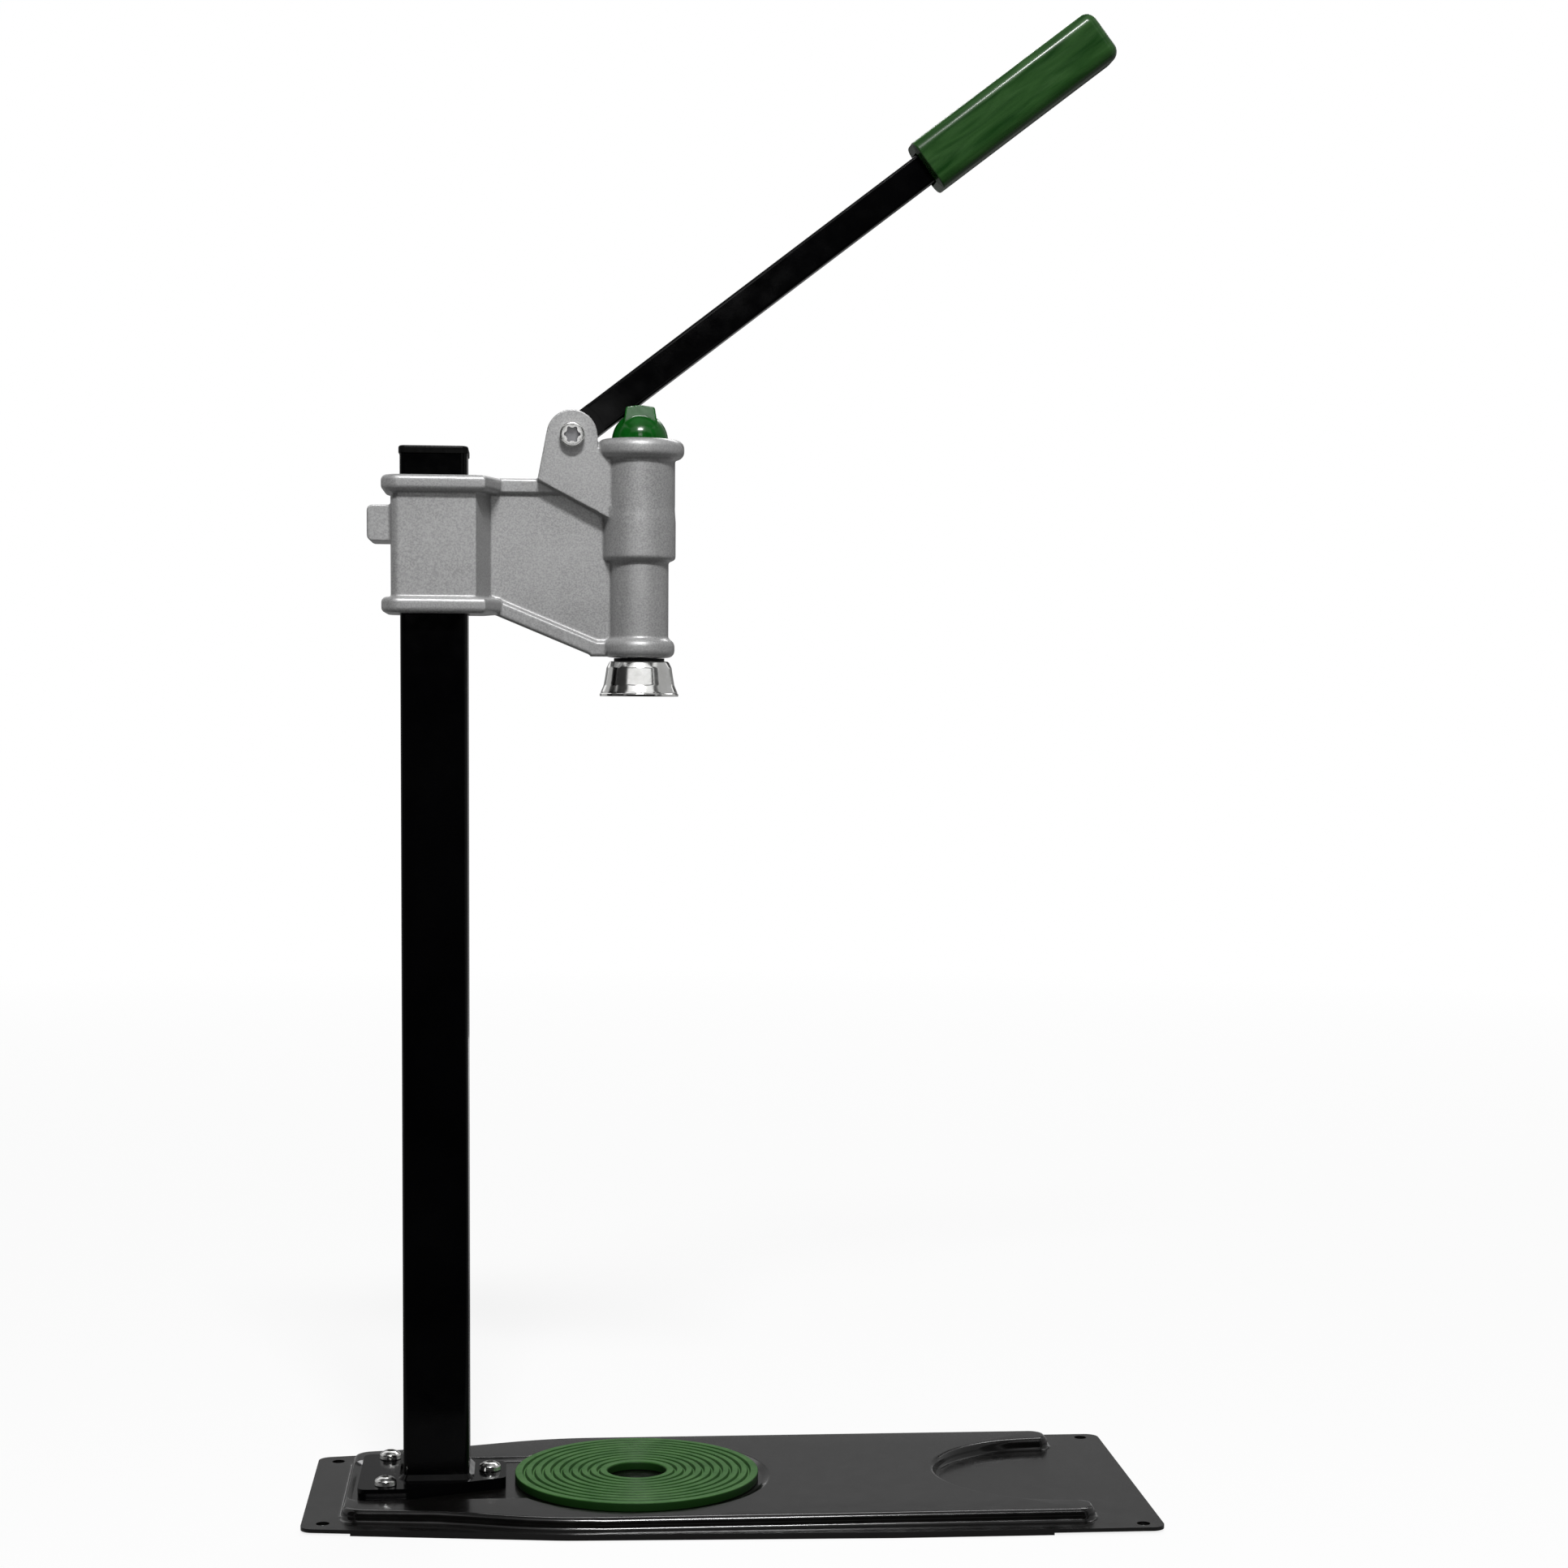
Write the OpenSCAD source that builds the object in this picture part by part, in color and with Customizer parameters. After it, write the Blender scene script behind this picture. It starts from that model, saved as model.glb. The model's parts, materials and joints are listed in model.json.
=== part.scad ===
// Bench bottle capper: a pressed base, a square column, a cast head that slides on it,
// and a hand lever that drives a spring-returned plunger with a crimping bell.
// Millimetres. +X runs from the column to the free end of the base, +Z is up.
// The origin is the middle of the base's footprint, on the bench.

/* [Base] */
// Length of the base along the bench
base_len = 448; // [420:1:500]
// Width of the base at the column end
base_end_w = 139; // [132:1:150]
// Width of the base beside the bottle pad
base_waist_w = 177; // [172:1:184]
// Width of the base at the free end
base_free_w = 189; // [185:1:210]
// Corner radius of the base
base_corner_r = 7; // [4:0.5:12]
// Distance from the column axis to the widest point beside the bottle pad
waist_back = 68; // [60:1:76]
// Length of the taper from there to the free end's full width
taper_len = 170; // [150:1:180]
// Blend radius of the long edges at both ends of that taper
base_blend_r = 150; // [60:5:160]
// Thickness of the base sheet
sheet_t = 2; // [1.2:0.1:2.4]
// Height of the sheet's underside above the bench
lip_drop = 1.2; // [0.5:0.1:2]
// Distance of the turned-down lips from the column end
lip_start = 26; // [20:1:60]
// Distance of the turned-down lips from the free end
lip_end = 59; // [40:1:90]
// Radius of the bench screw holes
bench_hole_r = 3.5; // [2.5:0.1:4]
// Bench holes at the column end, distance from that end
bench_hole_near = 11.2; // [9:0.1:14]
// Bench holes at the column end, distance from the ends of that edge
bench_hole_near_in = 9; // [8:0.5:12]
// Bench holes at the free end, distance from that end
bench_hole_far = 10.7; // [9:0.1:14]
// Bench holes at the free end, distance from the long edges
bench_hole_far_in = 7.5; // [7:0.5:12]

/* [Platform] */
// Rise of the platform above the sheet around it
platform_rise = 6.4; // [6:0.1:8]
// Distance of the platform from the column end
platform_start = 23.2; // [20:0.5:26]
// Distance of the prong tips from the free end
platform_end = 40.8; // [36:0.5:60]
// Width of the platform at the column end
platform_end_w = 112; // [108:1:114]
// Width of the platform beside the pad and beyond
platform_w = 158; // [156:1:164]
// Corner radius of the platform at the column end
platform_end_r = 8; // [6:0.5:10]
// Distance from the column axis to the end of the platform's flare
flare_end = 88; // [80:1:96]
// Shoulder radius of the platform
shoulder_r = 3; // [2.5:0.1:3.4]
// Depth of the horseshoe recess at the free end
horseshoe_depth = 70.5; // [50:0.5:90]
// Width of the horseshoe recess
horseshoe_w = 128; // [110:1:132]
// Reach of the prongs past the horseshoe's centre
prong_reach = 4; // [2:0.5:6]
// Outer corner radius of the prong tips
prong_outer_r = 6; // [5:0.5:8]
// Inner corner radius of the prong tips
prong_inner_r = 4; // [3:0.5:5]
// Depth of the keyhole recess that holds the pad and the foot plate
recess_depth = 1.9; // [1:0.1:2.2]
// Run of the slope around the keyhole recess
recess_slope = 5; // [3:0.5:6]

/* [Column] */
// Side of the square column tube
column_w = 35; // [30:1:36]
// Wall of the column tube
column_wall = 2; // [1.5:0.1:3]
// Outer corner radius of the column tube
column_r = 3; // [2:0.5:5]
// Length of the column tube
column_len = 543; // [460:1:640]
// Distance of the column axis from the column end of the base
column_inset = 68.2; // [66:0.1:70]
// Height of the end cap above the tube
cap_h = 4; // [3:0.5:8]
// Overhang of the end cap past the tube
cap_rim = 0.6; // [0.5:0.1:2]

/* [Foot] */
// Thickness of the foot plate
foot_t = 6; // [4:0.5:8]
// Length of the foot plate from the column axis towards the column end
foot_back = 41; // [38:0.5:43]
// Length of the foot plate from the column axis towards the pad
foot_front = 37; // [35:0.5:39]
// Width of the foot plate at the column end
foot_back_w = 71; // [66:1:74]
// Width of the foot plate at the pad end
foot_front_w = 32; // [28:1:40]
// Radius of the foot screws
foot_screw_r = 3; // [2.5:0.5:3]
// Distance of the pair of foot screws from the column axis
foot_pair_x = 26.4; // [25.5:0.1:30]
// Spacing of the pair of foot screws
foot_pair_span = 53; // [50:1:56]
// Distance of the single foot screw from the column axis
foot_single_x = 28.4; // [27:0.1:29.5]
// Leg of the weld bead round the column
weld_leg = 2.5; // [1:0.5:3]

/* [Bottle pad] */
// Outer radius of the pad
pad_r = 66; // [60:1:67]
// Radius of the hole in the pad
pad_hole_r = 15.9; // [8:0.1:20]
// Thickness of the pad
pad_t = 4.9; // [4:0.1:8]
// Number of concentric grooves
groove_count = 9; // [3:1:9]
// Pitch of the grooves
groove_pitch = 5; // [4.5:0.1:5]
// Depth of the grooves
groove_depth = 0.9; // [0.4:0.1:1.5]
// Width of the grooves
groove_w = 1.2; // [0.6:0.1:2]

/* [Head] */
// Distance from the column axis to the bell axis
reach = 107.8; // [106:0.1:114]
// Height of the sleeve's lower rim above the bench, as photographed
head_z = 474; // [300:1:476]
// Height of the sleeve
sleeve_h = 71.4; // [66:0.1:76]
// Wall of the sleeve
sleeve_wall = 4.2; // [3.5:0.1:5]
// Gap between sleeve and column on each side
sleeve_gap = 0.45; // [0.2:0.05:0.6]
// Height of the beads at the sleeve's ends
bead_h = 8.4; // [6:0.1:10]
// Projection of the beads from the sleeve
bead_out = 4.9; // [4.2:0.1:6]
// Edge radius of the beads
bead_edge_r = 2.8; // [1:0.1:3]
// Run of the gussets, from the sleeve's side to the web
gusset_run = 7.1; // [5:0.1:8]
// Length of the thumb tab
tab_len = 12.3; // [8:0.1:18]
// Height of the thumb tab
tab_h = 18.7; // [12:0.1:24]
// Height of the thumb tab's lower edge above the sleeve's lower rim
tab_z = 37.3; // [10:0.1:40]
// Half thickness of the arm's web
web_half = 2.5; // [2:0.1:4]
// Half width of the arm's flanges
flange_half = 5; // [4.5:0.1:6]
// Thickness of the arm's flanges
flange_t = 7.8; // [5:0.1:9]
// Slope of the lower flange, degrees
lower_slope = 22.3; // [21:0.1:23]
// Distance from the column axis to the start of that slope
slope_start = 31.5; // [30:0.5:34]

/* [Barrel] */
// Outer radius of the wide part, around the spring
barrel_wide_r = 19.2; // [18.6:0.1:20]
// Outer radius of the narrow part, around the bushes
barrel_narrow_r = 15.5; // [14:0.1:17]
// Outer radius of the top ring
top_ring_r = 23.6; // [22:0.1:25]
// Height of the top ring
top_ring_h = 10.2; // [8:0.1:12]
// Outer radius of the bottom ring
bottom_ring_r = 18.8; // [17:0.1:21]
// Height of the bottom ring
bottom_ring_h = 10; // [8:0.1:12]
// Top of the barrel above the sleeve's lower rim
barrel_top = 92.4; // [91:0.1:93]
// Step from wide to narrow, above the sleeve's lower rim
barrel_step = 29.9; // [25:0.1:32]
// Bottom of the barrel below the sleeve's lower rim
barrel_bottom = 21.9; // [20:0.1:24]

/* [Lever] */
// Angle of the lever above the horizontal, as photographed
lever_angle = 37.5; // [35:0.5:40]
// Travel of the lever, down to the barrel's rim
lever_travel = 29; // [10:1:29]
// Height of the lever pivot above the sleeve's lower rim
pivot_h = 93.7; // [93:0.1:95]
// Distance from the pivot to the bell axis
pivot_back = 35.8; // [35:0.1:38]
// Depth of the lever bar
bar_h = 16.5; // [14:0.5:17]
// Width of the lever bar
bar_w = 13.6; // [12:0.1:13.8]
// Wall of the lever tube
bar_wall = 2; // [1.5:0.1:2.5]
// Length of the solid root, from the pivot to the tube
root_len = 57; // [45:1:80]
// Length of the root's spigot inside the tube
spigot_len = 30; // [15:1:60]
// Distance from the pivot to the end of the grip
lever_len = 354.5; // [300:0.5:355]
// Width of the eye between the ears
eye_w = 12; // [10:0.1:12]
// Radius of the eye's thinned part
eye_r = 17.5; // [16.8:0.1:19]
// Radius of the ears around the pivot
ear_r = 13.4; // [12:0.1:14]
// Thickness of each ear
ear_t = 4.8; // [3:0.1:5]
// Distance from the pivot back to the ears' foot on the arm
ear_foot = 18; // [16:0.5:22]
// Drop of the ears' diagonal foot towards the barrel
ear_drop = 22.2; // [18:0.1:24]
// Gap between the lever and each ear
ear_gap = 0.2; // [0.1:0.05:0.4]

/* [Grip] */
// Length of the grip
grip_len = 119.5; // [90:0.5:140]
// Height of the grip
grip_h = 28.3; // [24:0.1:32]
// Width of the grip
grip_w = 25; // [20:0.1:30]

/* [Pivot bolt] */
// Radius of the pivot bolt
pivot_r = 4; // [3:0.5:4]
// Radius of the pivot bolt's head
pivot_head_r = 6.6; // [6:0.1:7]
// Height of the pivot bolt's head
pivot_head_h = 5; // [4:0.1:8]

/* [Plunger] */
// Radius of the saddle
saddle_r = 15.5; // [14.5:0.1:15.6]
// Radius of the crown that the lever presses on
crown_r = 14.8; // [13:0.1:15]
// Gap between the lever and the crown
crown_gap = 0.3; // [0.2:0.05:0.5]
// Height of the saddle's cheeks above the crown's centre
cheek_h = 18.4; // [16:0.1:19]
// Distance across the foot of the saddle's cheeks
cheek_span = 22; // [21:0.1:24]
// Draft of the saddle's cheeks, degrees
cheek_draft = 8; // [0:0.5:9]
// Length of the saddle's skirt
skirt_len = 16; // [12:0.5:20]
// Radius of the plunger rod
rod_r = 8; // [6:0.5:8.5]
// Outer radius of the guide bushes
bush_r = 11; // [10:0.1:12]
// Length of each guide bush
bush_len = 16; // [10:1:20]
// Running gap of rod, saddle and pivot, on the radius
run_gap = 0.06; // [0.02:0.01:0.1]
// Wire radius of the return spring
wire_r = 1.2; // [0.8:0.1:1.4]
// Turns of the return spring
spring_turns = 7; // [5:1:8]

/* [Bell] */
// Height of the bell
bell_h = 18.6; // [16:0.1:24]
// Radius of the bell's rim
bell_rim_r = 20.9; // [20:0.1:23]
// Radius of the bell's top edge
bell_top_r = 15.6; // [14:0.1:17]
// Radius of the crimping throat
throat_r = 13.3; // [13:0.1:14.5]
// Depth of the bell's mouth
mouth_depth = 11; // [9:0.1:14]
// Radius of the buffer ring above the bell
buffer_r = 13.4; // [12:0.1:15]
// Thickness of the buffer ring
buffer_t = 1.6; // [1:0.1:4]

/* [Hidden] */
$fn = 64;

seat = 0.05;       // gap between pieces that lie face to face
through = 1;       // how far a cut runs past a face
fine = 8;          // segments in a small rounded corner

// Heights of the base
sheet_top = lip_drop + sheet_t;
platform_top = sheet_top + platform_rise;
recess_floor = platform_top - recess_depth;
foot_top = recess_floor + foot_t;

// Places along the base
base_half = base_len / 2;
column_x = -base_half + column_inset;
bell_x = column_x + reach;
platform_x0 = -base_half + platform_start;
platform_x1 = base_half - platform_end;
waist_x = column_x + waist_back;
free_x = waist_x + taper_len;
flare_x0 = column_x + 3;
flare_x1 = column_x + flare_end;
neck_slope = 0.145;
foot_shoulder_r = 2.5;
foot_fillet = foot_shoulder_r + shoulder_r;
pad_recess_r = pad_r + 2;
horseshoe_steps = 16;
neck_half = foot_back_w / 2 + 1.5;

// Sleeve and head
sleeve_hole = column_w + 2 * sleeve_gap;
sleeve_w = sleeve_hole + 2 * sleeve_wall;
sleeve_r = column_r + 1.5;
bead_face = sleeve_w / 2 + bead_out;
gusset_a = atan(gusset_run / (sleeve_w / 2 - web_half));
head_top = head_z + sleeve_h;
pivot_x = bell_x - pivot_back;
pivot_z = head_z + pivot_h;
ear_half = eye_w / 2 + ear_gap + ear_t;
ear_slot = eye_w + 2 * ear_gap;
bar_slot = bar_w + 2 * ear_gap + 0.4;
barrel_top_z = head_z + barrel_top;
barrel_bottom_z = head_z - barrel_bottom;
chamber_floor_z = head_z + barrel_step + 4;
chamber_r = saddle_r + run_gap;
spigot_gap = 0.05;

// Lever and plunger at the photographed angle
lever_end_angle = lever_angle - lever_travel;
crown_offset = bar_h / 2 + crown_gap + crown_r;
function crown_z(angle) = pivot_z + pivot_back * tan(angle) - crown_offset / cos(angle);
crown_rest_z = crown_z(lever_angle);
plunger_stroke = crown_rest_z - crown_z(lever_end_angle);
skirt_z = crown_rest_z - skirt_len;
bell_top_z = barrel_bottom_z - 0.3 - buffer_t - seat;
spring_top_z = skirt_z - seat - 1.5;
rod_stub_r = rod_r - 2;
hub_z = bell_top_z - bell_h + mouth_depth;

function lerp(a, b, t) = a + (b - a) * t;
function ease(t) = let (u = min(1, max(0, t))) u * u * (3 - 2 * u);
function unit(v) = v / norm(v);
function flip(pts) = [for (i = [len(pts) - 2:-1:1]) [pts[i][0], -pts[i][1]]];
function at_z(pts, z) = [for (p = pts) [p[0], p[1], z]];

// Arc from angle a0 to angle a1 around c
function arc(c, r, a0, a1, n = fine) =
    [for (i = [0:n]) c + r * [cos(lerp(a0, a1, i / n)), sin(lerp(a0, a1, i / n))]];

// Round one corner of an outline by radius r
function corner(p0, p1, p2, r) =
    r <= 0 ? [p1] :
    let (
        a = unit(p0 - p1),
        b = unit(p2 - p1),
        half = acos(a * b) / 2,
        c = p1 + unit(a + b) * r / sin(half),
        from = p1 + a * r / tan(half) - c,
        to = p1 + b * r / tan(half) - c,
        a0 = atan2(from[1], from[0]),
        turn = (atan2(to[1], to[0]) - a0 + 540) % 360 - 180
    )
    arc(c, r, a0, a0 + turn);

// Outline with rounded corners, from points [x, y, radius]
function rounded(pts) =
    let (n = len(pts), xy = [for (p = pts) [p[0], p[1]]])
    [for (i = [0:n - 1]) each corner(xy[(i + n - 1) % n], xy[i], xy[(i + 1) % n], pts[i][2])];

// Outline moved outwards by d, with mitred corners
function grown(pts, d) =
    let (n = len(pts))
    [for (i = [0:n - 1])
        let (
            e0 = unit(pts[i] - pts[(i + n - 1) % n]),
            e1 = unit(pts[(i + 1) % n] - pts[i]),
            out = [e0[1] + e1[1], -e0[0] - e1[0]]
        )
        pts[i] + out * d / (1 + e0 * e1)];

// Solid through a stack of rings, lowest first, each counter-clockwise seen from above.
// The ends of a forked ring are made of several fans: lists of its points, each seen from the list's first.
module loft(rings, fans = []) {
    n = len(rings[0]);
    m = len(rings);
    walls = [for (k = [0:m - 2]) for (i = [0:n - 1])
        [k * n + i, (k + 1) * n + i, (k + 1) * n + (i + 1) % n, k * n + (i + 1) % n]];
    floors = len(fans) > 0 ? fans : [[for (i = [0:n - 1]) i]];
    roofs = [for (f = floors) [for (i = [len(f):-1:1]) (m - 1) * n + f[i % len(f)]]];
    polyhedron([for (r = rings) each r], concat(floors, walls, roofs));
}

// Square with rounded corners, centred
module round_square(w, r) {
    square([w - 2 * r, w], center = true);
    square([w, w - 2 * r], center = true);
    for (x = [-1, 1]) {
        for (y = [-1, 1]) {
            translate([x * (w / 2 - r), y * (w / 2 - r)]) circle(r);
        }
    }
}

// Slab drawn in the X-Z plane and centred on Y
module upright(w) {
    rotate([90, 0, 0]) linear_extrude(w, center = true) children();
}

// Everything on the lever is drawn along +X from the pivot
module on_lever() {
    translate([pivot_x, 0, pivot_z]) rotate([0, -lever_angle, 0]) children();
}

// Six-lobed driver recess, opening at z = 0 and cut downwards
module lobe_recess(r, depth) {
    translate([0, 0, -depth]) {
        cylinder(h = depth + through, r = r * 0.78);
        for (a = [0:60:300]) {
            rotate(a) translate([r * 0.76, 0, 0]) cylinder(h = depth + through, r = r * 0.24, $fn = 24);
        }
    }
}

module at_foot_screws() {
    for (y = [-1, 1]) {
        translate([column_x - foot_pair_x, y * foot_pair_span / 2, 0]) children();
    }
    translate([column_x + foot_single_x, 0, 0]) children();
}

// Base sheet: outlines, then the pressed plate

function base_outline() = rounded([
    [-base_half, -base_end_w / 2, base_corner_r],
    [waist_x, -base_waist_w / 2, base_blend_r],
    [free_x, -base_free_w / 2, base_blend_r],
    [base_half, -base_free_w / 2, base_corner_r],
    [base_half, base_free_w / 2, base_corner_r],
    [free_x, base_free_w / 2, base_blend_r],
    [waist_x, base_waist_w / 2, base_blend_r],
    [-base_half, base_end_w / 2, base_corner_r]
]);

function neck_y(x) = platform_end_w / 2 + neck_slope * (x - platform_x0);
function platform_y(x) =
    lerp(neck_y(x), platform_w / 2, ease((x - flare_x0) / (flare_x1 - flare_x0)));

// Edge of the platform's flat top, with the horseshoe at the free end
function platform_outline() =
    let (
        side_y = platform_w / 2,
        tip_x = platform_x1 + prong_reach,
        tilt = atan(neck_slope),
        end_x = platform_x0 + platform_end_r,
        end_c = [end_x, neck_y(end_x) - platform_end_r / cos(tilt)],
        horseshoe = [for (i = [0:horseshoe_steps]) let (a = lerp(180, 92, i / horseshoe_steps))
            [platform_x1 + horseshoe_depth * cos(a), horseshoe_w / 2 * sin(a)]],
        prong = concat(
            arc([tip_x - prong_inner_r, horseshoe_w / 2 + prong_inner_r], prong_inner_r, -80, 0),
            arc([tip_x - prong_outer_r, side_y - prong_outer_r], prong_outer_r, 0, 90)),
        flare = [for (i = [0:12]) let (x = lerp(flare_x1, flare_x0, i / 12)) [x, platform_y(x)]],
        end_arc = arc(end_c, platform_end_r, 90 + tilt, 180),
        far_half = concat(horseshoe, prong, flare, end_arc, [[platform_x0, 0]])
    )
    concat(far_half, flip(far_half));

// Keyhole: a circle round the pad and a neck round the foot plate
function keyhole_outline() =
    let (
        neck_x0 = column_x - foot_back - 2,
        join = asin(neck_half / pad_recess_r)
    )
    concat(
        arc([bell_x, 0], pad_recess_r, join - 180, 180 - join, 48),
        arc([neck_x0 + 6, neck_half - 6], 6, 90, 180),
        arc([neck_x0 + 6, 6 - neck_half], 6, 180, 270));

// Solid below a skin of the platform: shoulder above, foot fillet running out into the sheet below
module platform_solid(skin, bottom) {
    edge = platform_outline();
    n = len(edge);
    neck = n / 2;
    side = min([for (i = [horseshoe_steps + 1:neck]) if (edge[i][0] <= flare_x1) i]);
    fans = [
        concat([side], [for (i = [0:side - 1]) i]),
        concat([0], [for (i = [side:neck]) i]),
        concat([0], [for (i = [neck:n - side]) i]),
        concat([n - side], [for (i = [n - side + 1:n]) i % n])
    ];
    shoulder = shoulder_r - skin;
    fillet = foot_shoulder_r + skin;
    fillet_z = sheet_top + foot_shoulder_r;
    run_out = foot_fillet + 0.6;
    loft(concat(
        [at_z(grown(edge, run_out), bottom), at_z(grown(edge, run_out), fillet_z - fillet - 0.1)],
        [for (a = [60, 30, 0])
            at_z(grown(edge, shoulder + fillet * (1 - cos(a))), fillet_z - fillet * sin(a))],
        [for (a = [0, 30, 60, 90])
            at_z(grown(edge, shoulder * cos(a)), platform_top - shoulder_r + shoulder * sin(a))]
    ), fans);
}

module keyhole_solid(top) {
    edge = keyhole_outline();
    loft([
        at_z(edge, recess_floor),
        at_z(grown(edge, 1), recess_floor + 0.15),
        at_z(grown(edge, recess_slope - 1), platform_top - 0.15),
        at_z(grown(edge, recess_slope + 0.6), platform_top + 0.1),
        at_z(grown(edge, recess_slope + 0.6), top)
    ]);
}

// Flat sheet whose long edges are turned down between the two ends
module base_sheet() {
    difference() {
        linear_extrude(sheet_top) polygon(base_outline());
        translate([0, 0, -through]) linear_extrude(lip_drop + through) union() {
            polygon(grown(base_outline(), -sheet_t));
            translate([-base_len, -base_free_w]) square([base_half + lip_start, 2 * base_free_w]);
            translate([base_half - lip_end, -base_free_w]) square([base_half, 2 * base_free_w]);
        }
    }
}

module base_plate() {
    color("dimgray") difference() {
        union() {
            base_sheet();
            platform_solid(0, lip_drop + sheet_t / 3);
        }
        difference() {
            platform_solid(sheet_t, lip_drop - through);
            translate([0, 0, -sheet_t]) keyhole_solid(platform_top + through);
        }
        keyhole_solid(platform_top + through);
        at_foot_screws() cylinder(h = foot_top, r = foot_screw_r + 0.3);
        for (y = [-1, 1]) {
            translate([-base_half + bench_hole_near, y * (base_end_w / 2 - bench_hole_near_in), 0])
                cylinder(h = platform_top, r = bench_hole_r);
            translate([base_half - bench_hole_far, y * (base_free_w / 2 - bench_hole_far_in), 0])
                cylinder(h = platform_top, r = bench_hole_r);
        }
    }
}

module foot_plate() {
    straight = 15;
    color("#1a1a1c") difference() {
        union() {
            translate([column_x, 0, recess_floor + seat]) linear_extrude(foot_t - seat)
                polygon(rounded([
                    [-foot_back, -foot_back_w / 2, 5],
                    [-straight, -foot_back_w / 2, 6],
                    [foot_front, -foot_front_w / 2, 4],
                    [foot_front, foot_front_w / 2, 4],
                    [-straight, foot_back_w / 2, 6],
                    [-foot_back, foot_back_w / 2, 5]
                ]));
            translate([column_x, 0, foot_top]) weld_bead();
        }
        at_foot_screws() cylinder(h = foot_top + through, r = foot_screw_r + 0.3);
    }
}

// Fillet weld along the four sides and round the corners of the column
module weld_bead() {
    flat_w = column_w - 2 * column_r;
    leg = [[0, -seat], [weld_leg, -seat], [weld_leg, 0], [0, weld_leg]];
    for (a = [0:90:270]) {
        rotate(a) {
            translate([column_w / 2 + seat, flat_w / 2, 0]) rotate([90, 0, 0])
                linear_extrude(flat_w) polygon(leg);
            translate([flat_w / 2, flat_w / 2, 0]) rotate_extrude(angle = 90)
                translate([column_r + seat, 0]) polygon(leg);
        }
    }
}

module foot_screws() {
    head_r = 2 * foot_screw_r;
    head_h = 1.5 * foot_screw_r;
    color("silver") at_foot_screws() difference() {
        union() {
            translate([0, 0, 0.5]) cylinder(h = foot_top, r = foot_screw_r);
            translate([0, 0, foot_top + seat]) rotate_extrude() polygon(rounded([
                [0, 0, 0], [head_r, 0, 0.4], [head_r * 0.94, head_h * 0.62, 1.5],
                [head_r * 0.5, head_h, 4], [0, head_h, 0]
            ]));
        }
        translate([0, 0, foot_top + head_h]) lobe_recess(foot_screw_r * 0.8, head_h * 0.6);
    }
}

module foot_washers() {
    washer_t = 1;
    color("silver") at_foot_screws()
        translate([0, 0, recess_floor - sheet_t - seat - washer_t]) difference() {
            cylinder(h = washer_t, r = 2 * foot_screw_r);
            translate([0, 0, -through]) cylinder(h = washer_t + 2 * through, r = foot_screw_r + 0.2);
        }
}

module foot_nuts() {
    nut_h = 3.6;
    color("silver") at_foot_screws()
        translate([0, 0, recess_floor - sheet_t - 1 - 2 * seat - nut_h]) difference() {
            cylinder(h = nut_h, r = 1.92 * foot_screw_r, $fn = 6);
            translate([0, 0, -through]) cylinder(h = nut_h + 2 * through, r = foot_screw_r + 0.05);
        }
}

module column() {
    color("#16161a") translate([column_x, 0, foot_top + seat]) linear_extrude(column_len) difference() {
        round_square(column_w, column_r);
        round_square(column_w - 2 * column_wall, max(0.5, column_r - column_wall));
    }
}

module column_cap() {
    plug_w = column_w - 2 * column_wall - 0.3;
    plug_h = 12;
    top_r = 1.2;
    rim_w = column_w + 2 * cap_rim;
    rim = rounded([for (c = [[-1, -1], [1, -1], [1, 1], [-1, 1]])
        [c[0] * rim_w / 2, c[1] * rim_w / 2, column_r + cap_rim]]);
    color("#101012") translate([column_x, 0, foot_top + column_len + 2 * seat]) {
        loft(concat(
            [at_z(rim, 0)],
            [for (a = [0, 30, 60, 90]) at_z(grown(rim, top_r * (cos(a) - 1)), cap_h - top_r * (1 - sin(a)))]
        ));
        translate([0, 0, -plug_h]) linear_extrude(plug_h + through) difference() {
            round_square(plug_w, 0.8);
            square(plug_w - 4, center = true);
        }
    }
}

module bottle_pad() {
    face_w = pad_r - pad_hole_r;
    first = pad_hole_r + (face_w - (groove_count - 1) * groove_pitch) / 2;
    color("#2c7a33") translate([bell_x, 0, recess_floor + seat]) rotate_extrude($fn = 128) difference() {
        polygon(rounded([
            [pad_hole_r, 0, 0.5],
            [pad_r, 0, 0.8],
            [pad_r, pad_t, 1.2],
            [pad_hole_r, pad_t, 1]
        ]));
        for (i = [0:groove_count - 1]) {
            translate([first + i * groove_pitch, pad_t]) polygon([
                [-groove_w / 2 - 0.2, 0.1], [-groove_w / 4, -groove_depth],
                [groove_w / 4, -groove_depth], [groove_w / 2 + 0.2, 0.1]
            ]);
        }
    }
}

// Section of a bead, its outer face at x = 0
function bead_section(depth) = rounded([
    [-depth, 0, 0],
    [0, 0, bead_edge_r],
    [0, bead_h, bead_edge_r],
    [-depth, bead_h, 0]
]);

// Rounded bead round the sleeve: four corner turns joined by four straight runs
module sleeve_bead(z) {
    flat_w = sleeve_w - 2 * sleeve_r;
    turn_r = sleeve_r + bead_out;
    translate([column_x, 0, z]) for (a = [0:90:270]) {
        rotate(a) {
            translate([flat_w / 2, flat_w / 2, 0]) rotate_extrude()
                translate([turn_r, 0]) polygon(bead_section(turn_r - 1));
            translate([bead_face, flat_w / 2, 0]) rotate([90, 0, 0]) linear_extrude(flat_w)
                polygon(bead_section(sleeve_wall + bead_out));
        }
    }
}

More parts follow.
